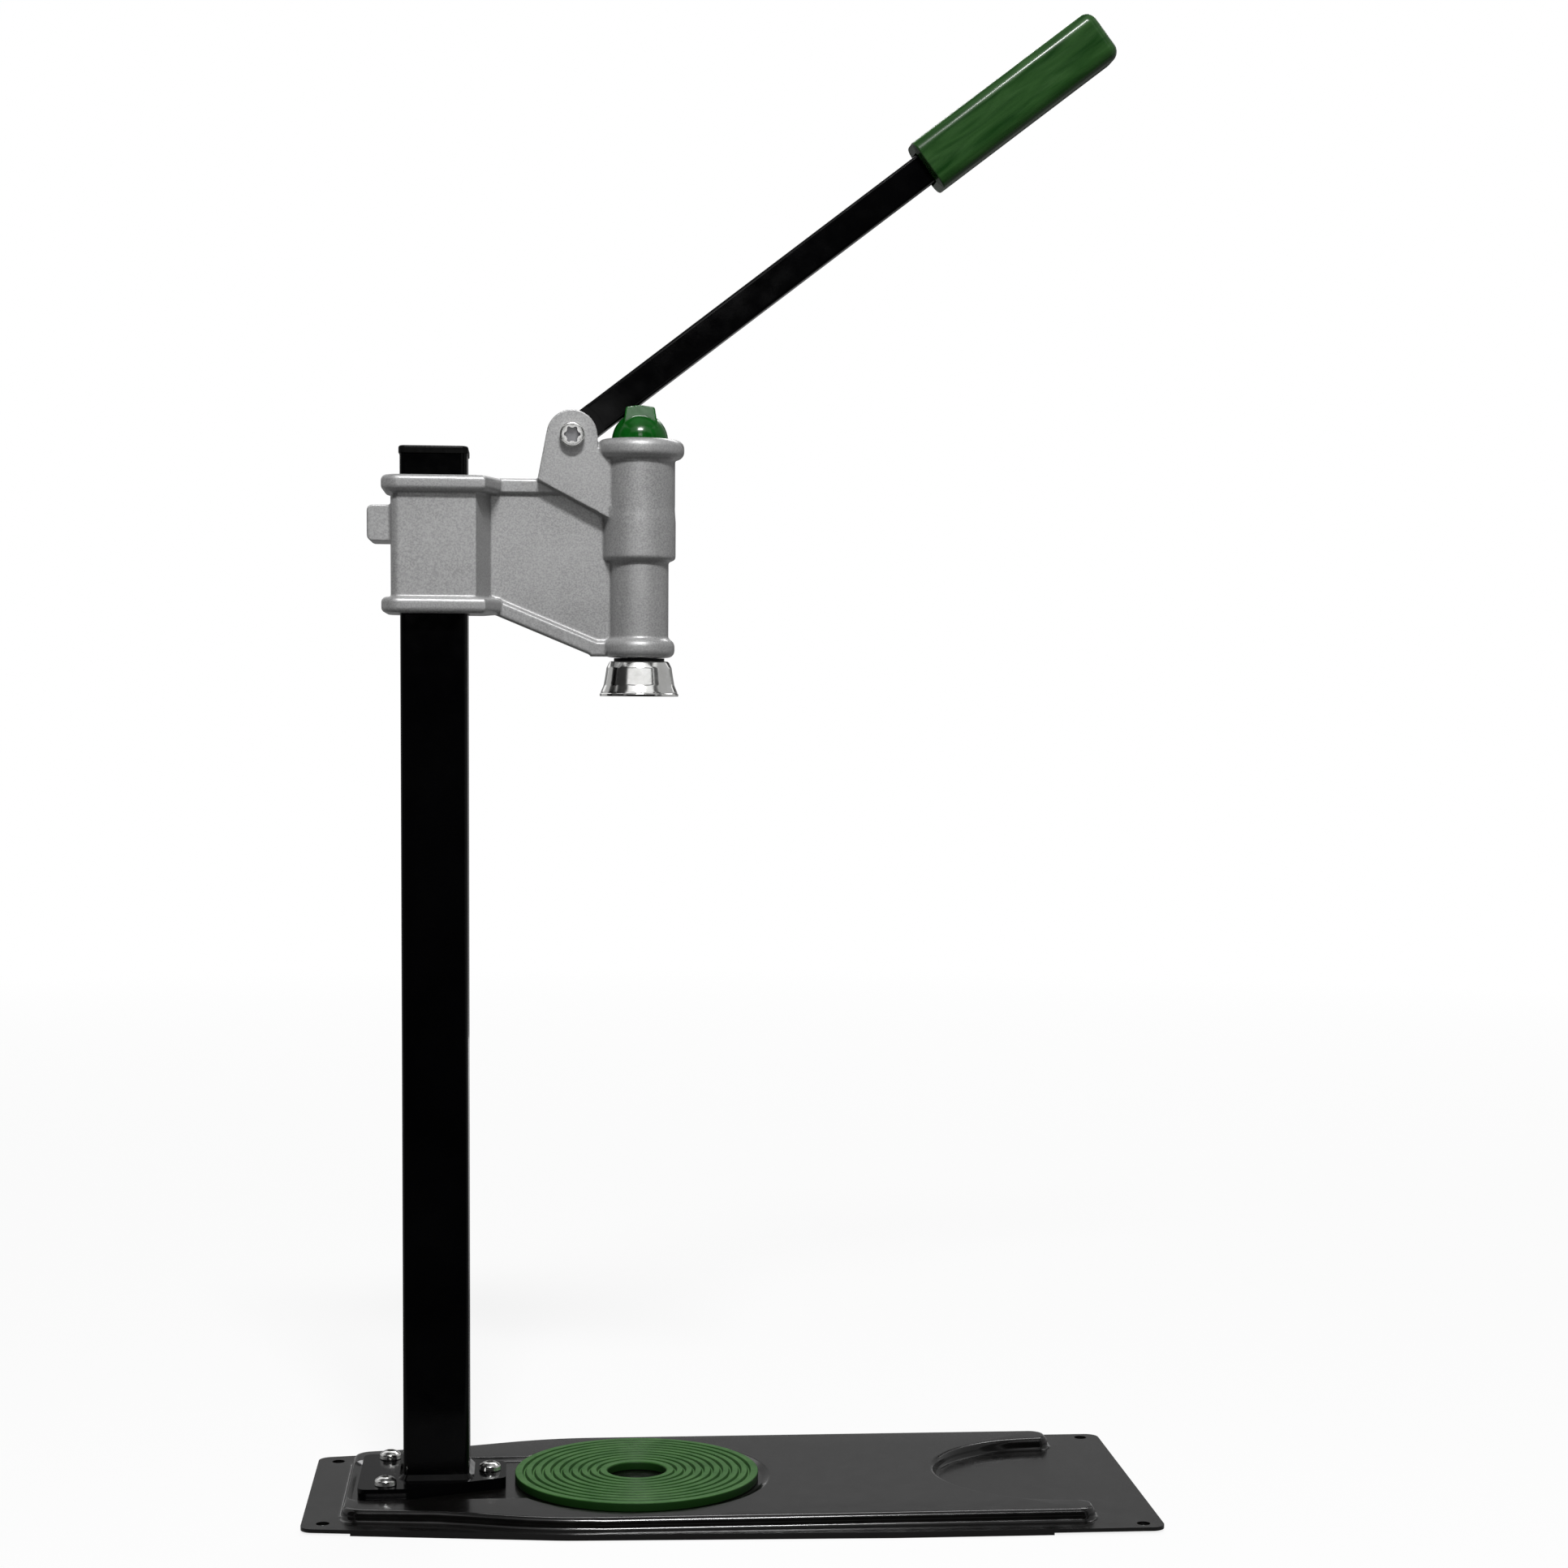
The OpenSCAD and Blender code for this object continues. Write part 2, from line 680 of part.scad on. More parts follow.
// Mitred neck that carries a bead along the gussets into the arm's flange
module bead_neck(z) {
    tip_x = bead_face + (bead_face + web_half) * tan(gusset_a);
    translate([column_x, 0, z]) for (side = [0, 1]) {
        mirror([0, side, 0]) intersection() {
            translate([tip_x, -bead_face, 0]) rotate([90, 0, -90]) linear_extrude(tip_x)
                polygon(bead_section(bead_face + 1));
            translate([tip_x, web_half, 0]) rotate([90, 0, -gusset_a]) linear_extrude(2 * bead_face)
                polygon(bead_section(2 * bead_face));
        }
    }
}

// T section of the arm with filleted web, flange face at z = 0 and web below it
module arm_section() {
    edge_r = 1.2;
    root = flange_half - web_half - edge_r - 0.1;
    side = [
        [flange_half, 0, 1.5], [flange_half, -flange_t, edge_r], [web_half, -flange_t, root],
        [web_half, -flange_t - 4.5, 0]
    ];
    polygon(rounded(concat(
        [for (i = [3:-1:0]) [-side[i][0], side[i][1], side[i][2]]], side)));
}

module arm_beam(len) {
    rotate([90, 0, 90]) linear_extrude(len) arm_section();
}

module arm() {
    start_x = column_x + sleeve_w / 2 - 2;
    slope_x = column_x + slope_start;
    slope_len = (bell_x - 24 - slope_x) / cos(lower_slope);
    kink_x = slope_x + slope_len * cos(lower_slope);
    kink_z = head_z - slope_len * sin(lower_slope);
    // Top flange, level with the sleeve's top bead
    translate([start_x, 0, head_top]) arm_beam(bell_x - start_x - 12);
    // Lower flange, sloping down to the barrel's bottom ring
    translate([slope_x - 8, 0, head_z + 8 * tan(lower_slope)]) rotate([0, lower_slope, 0])
        mirror([0, 0, 1]) arm_beam(slope_len + 8);
    translate([kink_x - 2, 0, kink_z]) mirror([0, 0, 1]) arm_beam(bell_x - kink_x - 8);
    upright(2 * web_half) polygon([
        [start_x, head_z + 4],
        [kink_x, kink_z + 4],
        [bell_x - 10, kink_z + 4],
        [bell_x - 10, head_top - 3],
        [start_x, head_top - 3]
    ]);
    // Gussets from the sleeve's faces down to the web
    translate([column_x, 0, head_z + 3]) linear_extrude(sleeve_h - 6) polygon([
        [sleeve_hole / 2 - sleeve_r, -sleeve_w / 2],
        [sleeve_w / 2, -sleeve_w / 2],
        [sleeve_w / 2 * (1 + tan(gusset_a)), 0],
        [sleeve_w / 2, sleeve_w / 2],
        [sleeve_hole / 2 - sleeve_r, sleeve_w / 2]
    ]);
}

// Side view of an ear: the eye, a tangent down to the arm, and a diagonal foot on the barrel
module ear_profile() {
    base = [pivot_x - ear_foot, head_top - 0.4];
    wall_x = bell_x - barrel_wide_r + 6;
    rim_z = barrel_top_z - top_ring_h / 2;
    eye = [pivot_x, pivot_z];
    to_eye = eye - base;
    swing = acos(ear_r / norm(to_eye));
    tangent_a = atan2(-to_eye[1], -to_eye[0]) - swing;
    tangent = eye + ear_r * [cos(tangent_a), sin(tangent_a)];
    translate(eye) circle(ear_r);
    polygon([
        base, [base[0] + 0.4, head_top - 1.2], [wall_x, head_top - ear_drop], [wall_x, rim_z],
        [pivot_x + ear_r, rim_z], [pivot_x + ear_r, pivot_z], eye, tangent
    ]);
}

module barrel_outside() {
    rotate_extrude() polygon(rounded([
        [0, barrel_bottom_z, 0],
        [bottom_ring_r, barrel_bottom_z, 3.8],
        [bottom_ring_r, barrel_bottom_z + bottom_ring_h, 4.2],
        [barrel_narrow_r, barrel_bottom_z + bottom_ring_h, 0.8],
        [barrel_narrow_r, head_z + barrel_step - 1.5, 1],
        [barrel_wide_r, head_z + barrel_step, 2.2],
        [barrel_wide_r, head_z + barrel_step + 23.4, 0],
        [barrel_wide_r - 0.4, head_z + barrel_step + 24, 0],
        [barrel_wide_r - 0.4, barrel_top_z - top_ring_h, 1.2],
        [top_ring_r, barrel_top_z - top_ring_h, 4.2],
        [top_ring_r, barrel_top_z, 4.4],
        [0, barrel_top_z, 0]
    ]));
}

module barrel_bore() {
    translate([0, 0, barrel_bottom_z - through]) cylinder(h = sleeve_h, r = bush_r);
    translate([0, 0, chamber_floor_z]) cylinder(h = barrel_top_z, r = chamber_r);
    translate([0, 0, barrel_top_z - 1]) cylinder(h = 2, r1 = chamber_r, r2 = chamber_r + 2);
}

module head_casting() {
    slot_floor = pivot_z - bar_h / 2 - 0.9;
    color("#a6a8aa") difference() {
        union() {
            translate([column_x, 0, head_z]) linear_extrude(sleeve_h) round_square(sleeve_w, sleeve_r);
            for (z = [head_z, head_top - bead_h]) {
                sleeve_bead(z);
                bead_neck(z);
            }
            upright(sleeve_w - 2 * sleeve_r) polygon(rounded([
                [column_x - sleeve_w / 2 + 2, head_z + tab_z, 0],
                [column_x - sleeve_w / 2 + 2, head_z + tab_z + tab_h, 0],
                [column_x - sleeve_w / 2 - tab_len, head_z + tab_z + tab_h, 3],
                [column_x - sleeve_w / 2 - tab_len, head_z + tab_z, 3]
            ]));
            arm();
            upright(2 * ear_half) ear_profile();
            translate([bell_x, 0, 0]) barrel_outside();
        }
        translate([column_x, 0, head_z - through]) linear_extrude(sleeve_h + 2 * through)
            round_square(sleeve_hole, column_r);
        translate([bell_x, 0, 0]) barrel_bore();
        // Slot for the lever between the ears, wider beside the barrel
        translate([pivot_x - ear_r - 8, -ear_slot / 2, slot_floor])
            cube([pivot_back + ear_r, ear_slot, ear_r + pivot_z - slot_floor + through]);
        translate([pivot_x + eye_r - 1.2, -bar_slot / 2, slot_floor])
            cube([pivot_back - eye_r - 8, bar_slot, ear_r + pivot_z - slot_floor + through]);
        translate([pivot_x, 0, pivot_z]) rotate([90, 0, 0])
            cylinder(h = 4 * ear_half, r = pivot_r + run_gap, center = true);
    }
}

module guide_bush(z) {
    color("#b08d57") translate([bell_x, 0, z]) difference() {
        cylinder(h = bush_len, r = bush_r - 0.02);
        translate([0, 0, -through]) cylinder(h = bush_len + 2 * through, r = rod_r + run_gap);
    }
}

module guide_bush_upper() {
    guide_bush(chamber_floor_z - bush_len);
}

module guide_bush_lower() {
    guide_bush(barrel_bottom_z + 0.5);
}

module pivot_bolt() {
    nut_end = ear_half + 11;
    color("silver") translate([pivot_x, 0, pivot_z]) rotate([90, 0, 0]) difference() {
        union() {
            translate([0, 0, -nut_end]) cylinder(h = nut_end + ear_half + 0.2, r = pivot_r);
            translate([0, 0, ear_half + seat]) rotate_extrude() polygon(rounded([
                [0, 0, 0], [pivot_head_r, 0, 0.2], [pivot_head_r, pivot_head_h, 1], [0, pivot_head_h, 0]
            ]));
        }
        translate([0, 0, ear_half + pivot_head_h]) lobe_recess(pivot_r + 0.4, pivot_head_h * 0.6);
    }
}

module pivot_washer() {
    color("silver") translate([pivot_x, ear_half + seat, pivot_z]) rotate([-90, 0, 0]) difference() {
        cylinder(h = 1.6, r = 2 * pivot_r);
        translate([0, 0, -through]) cylinder(h = 1.6 + 2 * through, r = pivot_r + 0.1);
    }
}

module pivot_nut() {
    nut_h = 6.8;
    color("silver") translate([pivot_x, ear_half + 1.6 + 2 * seat, pivot_z]) rotate([-90, 0, 0]) difference() {
        intersection() {
            cylinder(h = nut_h, r = 1.87 * pivot_r, $fn = 6);
            rotate_extrude() polygon([
                [0, 0], [1.7 * pivot_r, 0], [1.87 * pivot_r, 0.8], [1.87 * pivot_r, nut_h - 0.8],
                [1.7 * pivot_r, nut_h], [0, nut_h]
            ]);
        }
        translate([0, 0, -through]) cylinder(h = nut_h + 2 * through, r = pivot_r + 0.05);
    }
}

module pivot_bush() {
    color("#b08d57") translate([pivot_x, 0, pivot_z]) rotate([90, 0, 0]) difference() {
        cylinder(h = eye_w, r = pivot_r + 1.5, center = true);
        cylinder(h = eye_w + 2 * through, r = pivot_r + run_gap, center = true);
    }
}

// Run of the lever's section from x0 to x1, with softened edges
module lever_run(x0, x1, h, w, r) {
    translate([x0, 0, 0]) rotate([90, 0, 90]) linear_extrude(x1 - x0) {
        square([w - 2 * r, h], center = true);
        square([w, h - 2 * r], center = true);
        for (y = [-1, 1]) {
            for (z = [-1, 1]) {
                translate([y * (w / 2 - r), z * (h / 2 - r)]) circle(r);
            }
        }
    }
}

module lever_root() {
    edge_r = 1.6;
    color("#1c1c1f") on_lever() difference() {
        union() {
            lever_run(eye_r - 3, root_len - 0.3, bar_h, bar_w, edge_r);
            rotate([90, 0, 0]) cylinder(h = eye_w, r = bar_h / 2, center = true);
            translate([0, -eye_w / 2, -bar_h / 2]) cube([eye_r, eye_w, bar_h]);
            lever_run(root_len - 1, root_len + spigot_len, bar_h - 2 * bar_wall - 2 * spigot_gap,
                bar_w - 2 * bar_wall - 2 * spigot_gap, 0.6);
        }
        rotate([90, 0, 0]) cylinder(h = bar_w + 2 * through, r = pivot_r + 1.52, center = true);
        for (side = [-1, 1]) {
            translate([0, side * (eye_w / 2 + bar_w / 2), 0]) rotate([90, 0, 0])
                cylinder(h = bar_w, r = eye_r, center = true);
        }
    }
}

module lever_bar() {
    edge_r = 1.6;
    tube_end = lever_len - 6;
    color("#1c1c1f") on_lever() difference() {
        lever_run(root_len, tube_end, bar_h, bar_w, edge_r);
        lever_run(root_len - through, tube_end + through, bar_h - 2 * bar_wall, bar_w - 2 * bar_wall, 0.6);
    }
}

// Moulded grip: a rounded section that draws in at both ends
module lever_grip() {
    steps = 24;
    start = lever_len - grip_len;
    stations = [[0, -2.2], [0.5, -1.1], [1.6, -0.3], [3.5, 0], [grip_len / 2, 0.4], [grip_len - 9, 0],
        [grip_len - 4.5, -0.9], [grip_len - 1.8, -2.3], [grip_len - 0.5, -3.9], [grip_len, -5.2]];
    function grip_ring(x, d) = [
        for (p = rounded([
            for (c = [[-1, -1], [1, -1], [1, 1], [-1, 1]])
                [c[0] * (grip_w / 2 + d), c[1] * (grip_h / 2 + d), 6.5 + min(0, d)]
        ])) [x, p[0], p[1]]];
    color("#26683a") on_lever() difference() {
        loft([for (s = stations) grip_ring(start + s[0], s[1])]);
        lever_run(start - through, lever_len - 5, bar_h + 0.1, bar_w + 0.1, 1.6);
    }
}

// Saddle: round crown in a slot that straddles the lever, two flat cheeks, and a guiding skirt
module plunger_saddle() {
    slot_w = bar_w + 2 * ear_gap;
    cheek_lean = (cheek_h + 1) * tan(cheek_draft);
    color("#0b5a17") translate([bell_x, 0, crown_rest_z]) difference() {
        union() {
            intersection() {
                sphere(saddle_r, $fn = 96);
                cylinder(h = saddle_r, r = saddle_r);
            }
            translate([0, 0, -skirt_len]) cylinder(h = skirt_len, r = saddle_r);
            intersection() {
                upright(cheek_span) polygon(rounded([
                    [-9.6, 3, 0], [9.6, 3, 0], [9, 8, 3], [7.6, cheek_h - 1, 1.4], [0, cheek_h, 12],
                    [-7.6, cheek_h - 1, 1.4], [-9, 8, 3]
                ]));
                rotate([90, 0, 90]) linear_extrude(2 * saddle_r, center = true) polygon([
                    [-cheek_span / 2, 0],
                    [cheek_span / 2, 0],
                    [cheek_span / 2 - cheek_lean, cheek_h + 1],
                    [cheek_lean - cheek_span / 2, cheek_h + 1]
                ]);
            }
        }
        difference() {
            translate([-2 * saddle_r, -slot_w / 2, 0]) cube([4 * saddle_r, slot_w, 2 * cheek_h]);
            rotate([90, 0, 0]) cylinder(h = slot_w + 2 * through, r = crown_r, center = true);
        }
        translate([0, 0, -skirt_len - through]) cylinder(h = skirt_len - 3 + through, r = rod_stub_r);
        translate([0, 0, -skirt_len - through]) cylinder(h = through + 2, r = rod_r + 0.02);
    }
}

module plunger_rod() {
    color("silver") translate([bell_x, 0, 0]) {
        translate([0, 0, bell_top_z + seat]) cylinder(h = skirt_z + 2 - bell_top_z - 2 * seat, r = rod_r);
        translate([0, 0, skirt_z]) cylinder(h = skirt_len - 3 - seat, r = rod_stub_r - 0.02);
        translate([0, 0, hub_z + 2.2]) cylinder(h = bell_top_z - hub_z, r = rod_stub_r - 0.52);
    }
}

module spring_washer() {
    color("silver") translate([bell_x, 0, spring_top_z]) difference() {
        cylinder(h = 1.5, r = saddle_r - 0.7);
        translate([0, 0, -through]) cylinder(h = 1.5 + 2 * through, r = rod_r + 0.05);
    }
}

// Helical return spring with closed ends
module return_spring() {
    coil_r = chamber_r - 1.3 - wire_r;
    z0 = chamber_floor_z + wire_r + seat;
    z1 = spring_top_z - wire_r - seat;
    per_turn = 18;
    sides = 8;
    n = spring_turns * per_turn;
    closed = wire_r * 2.1;
    function rise(t) =
        t < 1 ? closed * t :
        t > spring_turns - 1 ? z1 - z0 - closed * (spring_turns - t) :
        lerp(closed, z1 - z0 - closed, (t - 1) / (spring_turns - 2));
    color("gainsboro") loft([
        for (i = [0:n])
            let (t = i / per_turn, a = 360 * t)
            [for (k = [0:sides - 1])
                let (b = -360 * k / sides, r = coil_r + wire_r * cos(b))
                [bell_x + r * cos(a), r * sin(a), z0 + rise(t) + wire_r * sin(b)]]
    ]);
}

module bell_buffer() {
    color("#141414") translate([bell_x, 0, bell_top_z + seat]) difference() {
        cylinder(h = buffer_t, r = buffer_r);
        translate([0, 0, -through]) cylinder(h = buffer_t + 2 * through, r = rod_r + 0.1);
    }
}

// Crimping bell: a stepped skirt outside, a coned throat and a bell mouth inside
module bell() {
    lip_h = 2.4;
    hub = bell_h - mouth_depth;
    color("gainsboro") translate([bell_x, 0, bell_top_z - bell_h]) difference() {
        rotate_extrude($fn = 96) polygon(rounded([
            [0, mouth_depth, 0],
            [throat_r - 0.6, mouth_depth, 0.5],
            [throat_r, 5.5, 6],
            [throat_r + 1.6, 2.6, 4],
            [bell_rim_r - 2.6, 0, 3],
            [bell_rim_r, 0, 0.9],
            [bell_rim_r, lip_h, 0.9],
            [bell_rim_r - 1.2, lip_h + 0.4, 0.4],
            [bell_rim_r - 2.2, 10.5, 6],
            [bell_top_r + 0.6, bell_h - 2.6, 4],
            [bell_top_r - 0.2, bell_h, 1.2],
            [0, bell_h, 0]
        ]));
        translate([0, 0, mouth_depth + 2.2 - seat]) cylinder(h = hub + through, r = rod_stub_r - 0.5);
        translate([0, 0, mouth_depth - through]) cylinder(h = through + 2, r = 8);
    }
}

module bell_magnet() {
    color("gray") translate([bell_x, 0, hub_z]) cylinder(h = 1.9, r = 7.95);
}

base_plate();
foot_plate();
foot_screws();
foot_washers();
foot_nuts();
column();
column_cap();
bottle_pad();
head_casting();
guide_bush_upper();
guide_bush_lower();
pivot_bolt();
pivot_washer();
pivot_nut();
pivot_bush();
lever_root();
lever_bar();
lever_grip();
plunger_saddle();
plunger_rod();
spring_washer();
return_spring();
bell_buffer();
bell();
bell_magnet();
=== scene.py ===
"""Looks of a bench bottle capper: pressed base, square column, cast head, hand lever and plunger.

Each sub-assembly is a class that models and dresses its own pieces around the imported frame.
All lengths are metres in the frame's axes: +X from the column to the free end, +Z up.
"""

import json
import logging
import math
from dataclasses import dataclass
from enum import Enum
from typing import Callable, Sequence

import bpy
from mathutils import Matrix, Vector

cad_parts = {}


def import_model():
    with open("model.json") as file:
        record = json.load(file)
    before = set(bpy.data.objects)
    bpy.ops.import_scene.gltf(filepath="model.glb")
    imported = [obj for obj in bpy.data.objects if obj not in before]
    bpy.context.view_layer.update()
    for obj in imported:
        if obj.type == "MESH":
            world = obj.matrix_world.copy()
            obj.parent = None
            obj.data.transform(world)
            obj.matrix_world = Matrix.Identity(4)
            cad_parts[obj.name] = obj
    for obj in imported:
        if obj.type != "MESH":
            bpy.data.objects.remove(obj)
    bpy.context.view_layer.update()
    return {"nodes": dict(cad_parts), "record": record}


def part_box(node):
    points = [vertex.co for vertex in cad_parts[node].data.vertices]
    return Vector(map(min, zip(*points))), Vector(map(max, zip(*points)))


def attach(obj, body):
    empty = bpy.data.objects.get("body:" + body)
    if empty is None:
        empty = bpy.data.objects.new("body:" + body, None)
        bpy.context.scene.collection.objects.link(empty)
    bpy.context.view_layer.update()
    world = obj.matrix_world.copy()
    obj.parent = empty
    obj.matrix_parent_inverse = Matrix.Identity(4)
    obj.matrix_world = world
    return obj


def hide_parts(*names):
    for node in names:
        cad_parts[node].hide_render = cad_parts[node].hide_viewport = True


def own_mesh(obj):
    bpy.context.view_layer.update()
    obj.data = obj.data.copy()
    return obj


LOG = logging.getLogger("capper")
MM = 0.001
# Vertices that are closer than this become one
WELD = 0.002 * MM
# Slack where faces and edges are picked by their place
NEAR = 0.1 * MM
WHITE = (1.0, 1.0, 1.0, 1.0)
Colour = tuple[float, float, float]
# A profile's corner: radius, height and fillet
Corner = tuple[float, float, float]


class Body(str, Enum):
    """The bodies that pieces ride on."""

    BASE = "base"
    HEAD = "head"
    LEVER = "lever"
    PLUNGER = "plunger"


class Slot(str, Enum):
    """The record's material slots."""

    BASE_PAINT = "base_paint"
    BLACK_PAINT = "black_paint"
    SILVER_COAT = "silver_coat"
    ZINC = "zinc"
    BRIGHT_STEEL = "bright_steel"
    SPRING_STEEL = "spring_steel"
    CHROME = "chrome"
    BRONZE = "bronze"
    MAGNET = "magnet"
    GREEN_RUBBER = "green_rubber"
    BLACK_RUBBER = "black_rubber"
    GREEN_PLASTIC = "green_plastic"
    GREEN_GRIP = "green_grip"
    BLACK_PLASTIC = "black_plastic"


class Element(str, Enum):
    """What a pick selects."""

    FACE = "FACE"
    EDGE = "EDGE"


class Operation(str, Enum):
    """What a math node works out."""

    DIFFERENCE = "SUBTRACT"
    PRODUCT = "MULTIPLY"
    GREATER = "MAXIMUM"
    SIZE = "ABSOLUTE"


class Nodes:
    """A node tree, with short calls for the nodes that materials and the world share."""

    def __init__(self, tree: bpy.types.NodeTree) -> None:
        """Take over a node tree.

        Args:
            tree: The tree that nodes are added to.
        """
        self.tree = tree

    def span(self, value: bpy.types.NodeSocket, low: float, high: float, start: float = 0.0,
             end: float = 1.0) -> bpy.types.NodeSocket:
        """Stretch a value from one range to another.

        Args:
            value: The value.
            low: Result at the range's start.
            high: Result at the range's end.
            start: Start of the value's range.
            end: End of the value's range.

        Returns:
            The stretched value.
        """
        node = self.tree.nodes.new("ShaderNodeMapRange")
        node.inputs["From Min"].default_value = start
        node.inputs["From Max"].default_value = end
        node.inputs["To Min"].default_value = low
        node.inputs["To Max"].default_value = high
        self.tree.links.new(value, node.inputs["Value"])
        return node.outputs["Result"]

    def calc(self, operation: Operation, first: float | bpy.types.NodeSocket,
             second: float | bpy.types.NodeSocket = 0.0) -> bpy.types.NodeSocket:
        """Work out a value from one or two others.

        Args:
            operation: What the math node works out.
            first: Number, or a socket that gives one.
            second: Number, or a socket that gives one.

        Returns:
            The result.
        """
        node = self.tree.nodes.new("ShaderNodeMath")
        node.operation = operation.value
        for index, value in enumerate((first, second)):
            if isinstance(value, (int, float)):
                node.inputs[index].default_value = value
            else:
                self.tree.links.new(value, node.inputs[index])
        return node.outputs[0]

    def seen(self, path: bpy.types.Node) -> bpy.types.NodeSocket:
        """One for camera, glossy and transmission rays, and zero for the rest.

        Args:
            path: The tree's Light Path node.

        Returns:
            The value.
        """
        sharp = self.calc(Operation.GREATER, path.outputs["Is Camera Ray"], path.outputs["Is Glossy Ray"])
        return self.calc(Operation.GREATER, sharp, path.outputs["Is Transmission Ray"])


class Graph(Nodes):
    """A material's node tree, with the patterns that the finishes share."""

    def __init__(self, name: str) -> None:
        """Start a material with one Principled shader.

        Args:
            name: The material's name.
        """
        self.material = bpy.data.materials.new(name)
        self.material.use_nodes = True
        super().__init__(self.material.node_tree)
        self.shader = self.tree.nodes["Principled BSDF"]
        self.place = self.tree.nodes.new("ShaderNodeTexCoord").outputs["Object"]

    def set(self, **values: float | Colour) -> None:
        """Set constants on the shader's own sockets.

        Args:
            values: Socket names with underscores for spaces, and their values.
        """
        for key, value in values.items():
            socket = self.shader.inputs[key.replace("_", " ")]
            socket.default_value = (*value, 1.0) if isinstance(value, tuple) else value

    def feed(self, socket: str, source: bpy.types.NodeSocket) -> None:
        """Link a source to one of the shader's sockets.

        Args:
            socket: Name of the shader's socket.
            source: Output to link to it.
        """
        self.tree.links.new(source, self.shader.inputs[socket])

    def mapped(self, stretch: Sequence[float], turn: Sequence[float] = (0, 0, 0)) -> bpy.types.NodeSocket:
        """Object coordinates, seen from a pattern's own turn and stretch.

        Args:
            stretch: How much longer the pattern is along its three axes.
            turn: Euler angles of the pattern's axes in radians.

        Returns:
            The mapped vector.
        """
        node = self.tree.nodes.new("ShaderNodeMapping")
        node.vector_type = "TEXTURE"
        node.inputs["Rotation"].default_value = turn
        node.inputs["Scale"].default_value = stretch
        self.tree.links.new(self.place, node.inputs["Vector"])
        return node.outputs["Vector"]

    def noise(self, pitch: float, detail: float = 2.0, vector: bpy.types.NodeSocket | None = None,
              warp: float = 0.0) -> bpy.types.NodeSocket:
        """Noise whose features are about one pitch apart.

        Args:
            pitch: Size of the features in metres.
            detail: Octaves.
            vector: Coordinates, or None for object coordinates.
            warp: Distortion.

        Returns:
            The noise's value.
        """
        node = self.tree.nodes.new("ShaderNodeTexNoise")
        node.inputs["Scale"].default_value = 1 / pitch
        node.inputs["Detail"].default_value = detail
        node.inputs["Distortion"].default_value = warp
        self.tree.links.new(vector or self.place, node.inputs["Vector"])
        return node.outputs["Fac"]

    def cells(self, pitch: float) -> bpy.types.NodeSocket:
        """Distance to the nearest of scattered points.

        Args:
            pitch: Distance between the points in metres.

        Returns:
            The distance, as a share of the pitch.
        """
        node = self.tree.nodes.new("ShaderNodeTexVoronoi")
        node.inputs["Scale"].default_value = 1 / pitch
        self.tree.links.new(self.place, node.inputs["Vector"])
        return node.outputs["Distance"]

    def blend(self, share: bpy.types.NodeSocket, first: Colour | bpy.types.NodeSocket,
              second: Colour | bpy.types.NodeSocket) -> bpy.types.NodeSocket:
        """Mix two colours.

        Args:
            share: Share of the second colour.
            first: Colour, or a socket that gives one.
            second: Colour, or a socket that gives one.

        Returns:
            The mixed colour.
        """
        node = self.tree.nodes.new("ShaderNodeMix")
        node.data_type = "RGBA"
        self.tree.links.new(share, node.inputs[0])
        for index, colour in ((6, first), (7, second)):
            if isinstance(colour, tuple):
                node.inputs[index].default_value = (*colour, 1.0)
            else:
                self.tree.links.new(colour, node.inputs[index])
        return node.outputs[2]

    def upward(self) -> bpy.types.NodeSocket:
        """How far the surface faces up in its own frame, the mask for painted shade on walls and sides.

        Returns:
            The share: 1 on flat lands, 0 on walls.
        """
        split = self.tree.nodes.new("ShaderNodeSeparateXYZ")
        self.tree.links.new(self.place.node.outputs["Normal"], split.inputs["Vector"])
        return self.span(split.outputs["Z"], 0.0, 1.0, 0.25, 0.95)

    def bump(self, height: bpy.types.NodeSocket, depth: float,
             under: bpy.types.NodeSocket | None = None) -> bpy.types.NodeSocket:
        """Relief from a height.

        Args:
            height: The height's value, from 0 to 1.
            depth: Depth of the relief in metres.
            under: Normal of a coarser relief below this one.

        Returns:
            The normal.
        """
        node = self.tree.nodes.new("ShaderNodeBump")
        node.inputs["Strength"].default_value = 1.0
        node.inputs["Distance"].default_value = depth
        self.tree.links.new(height, node.inputs["Height"])
        if under is not None:
            self.tree.links.new(under, node.inputs["Normal"])
        return node.outputs["Normal"]


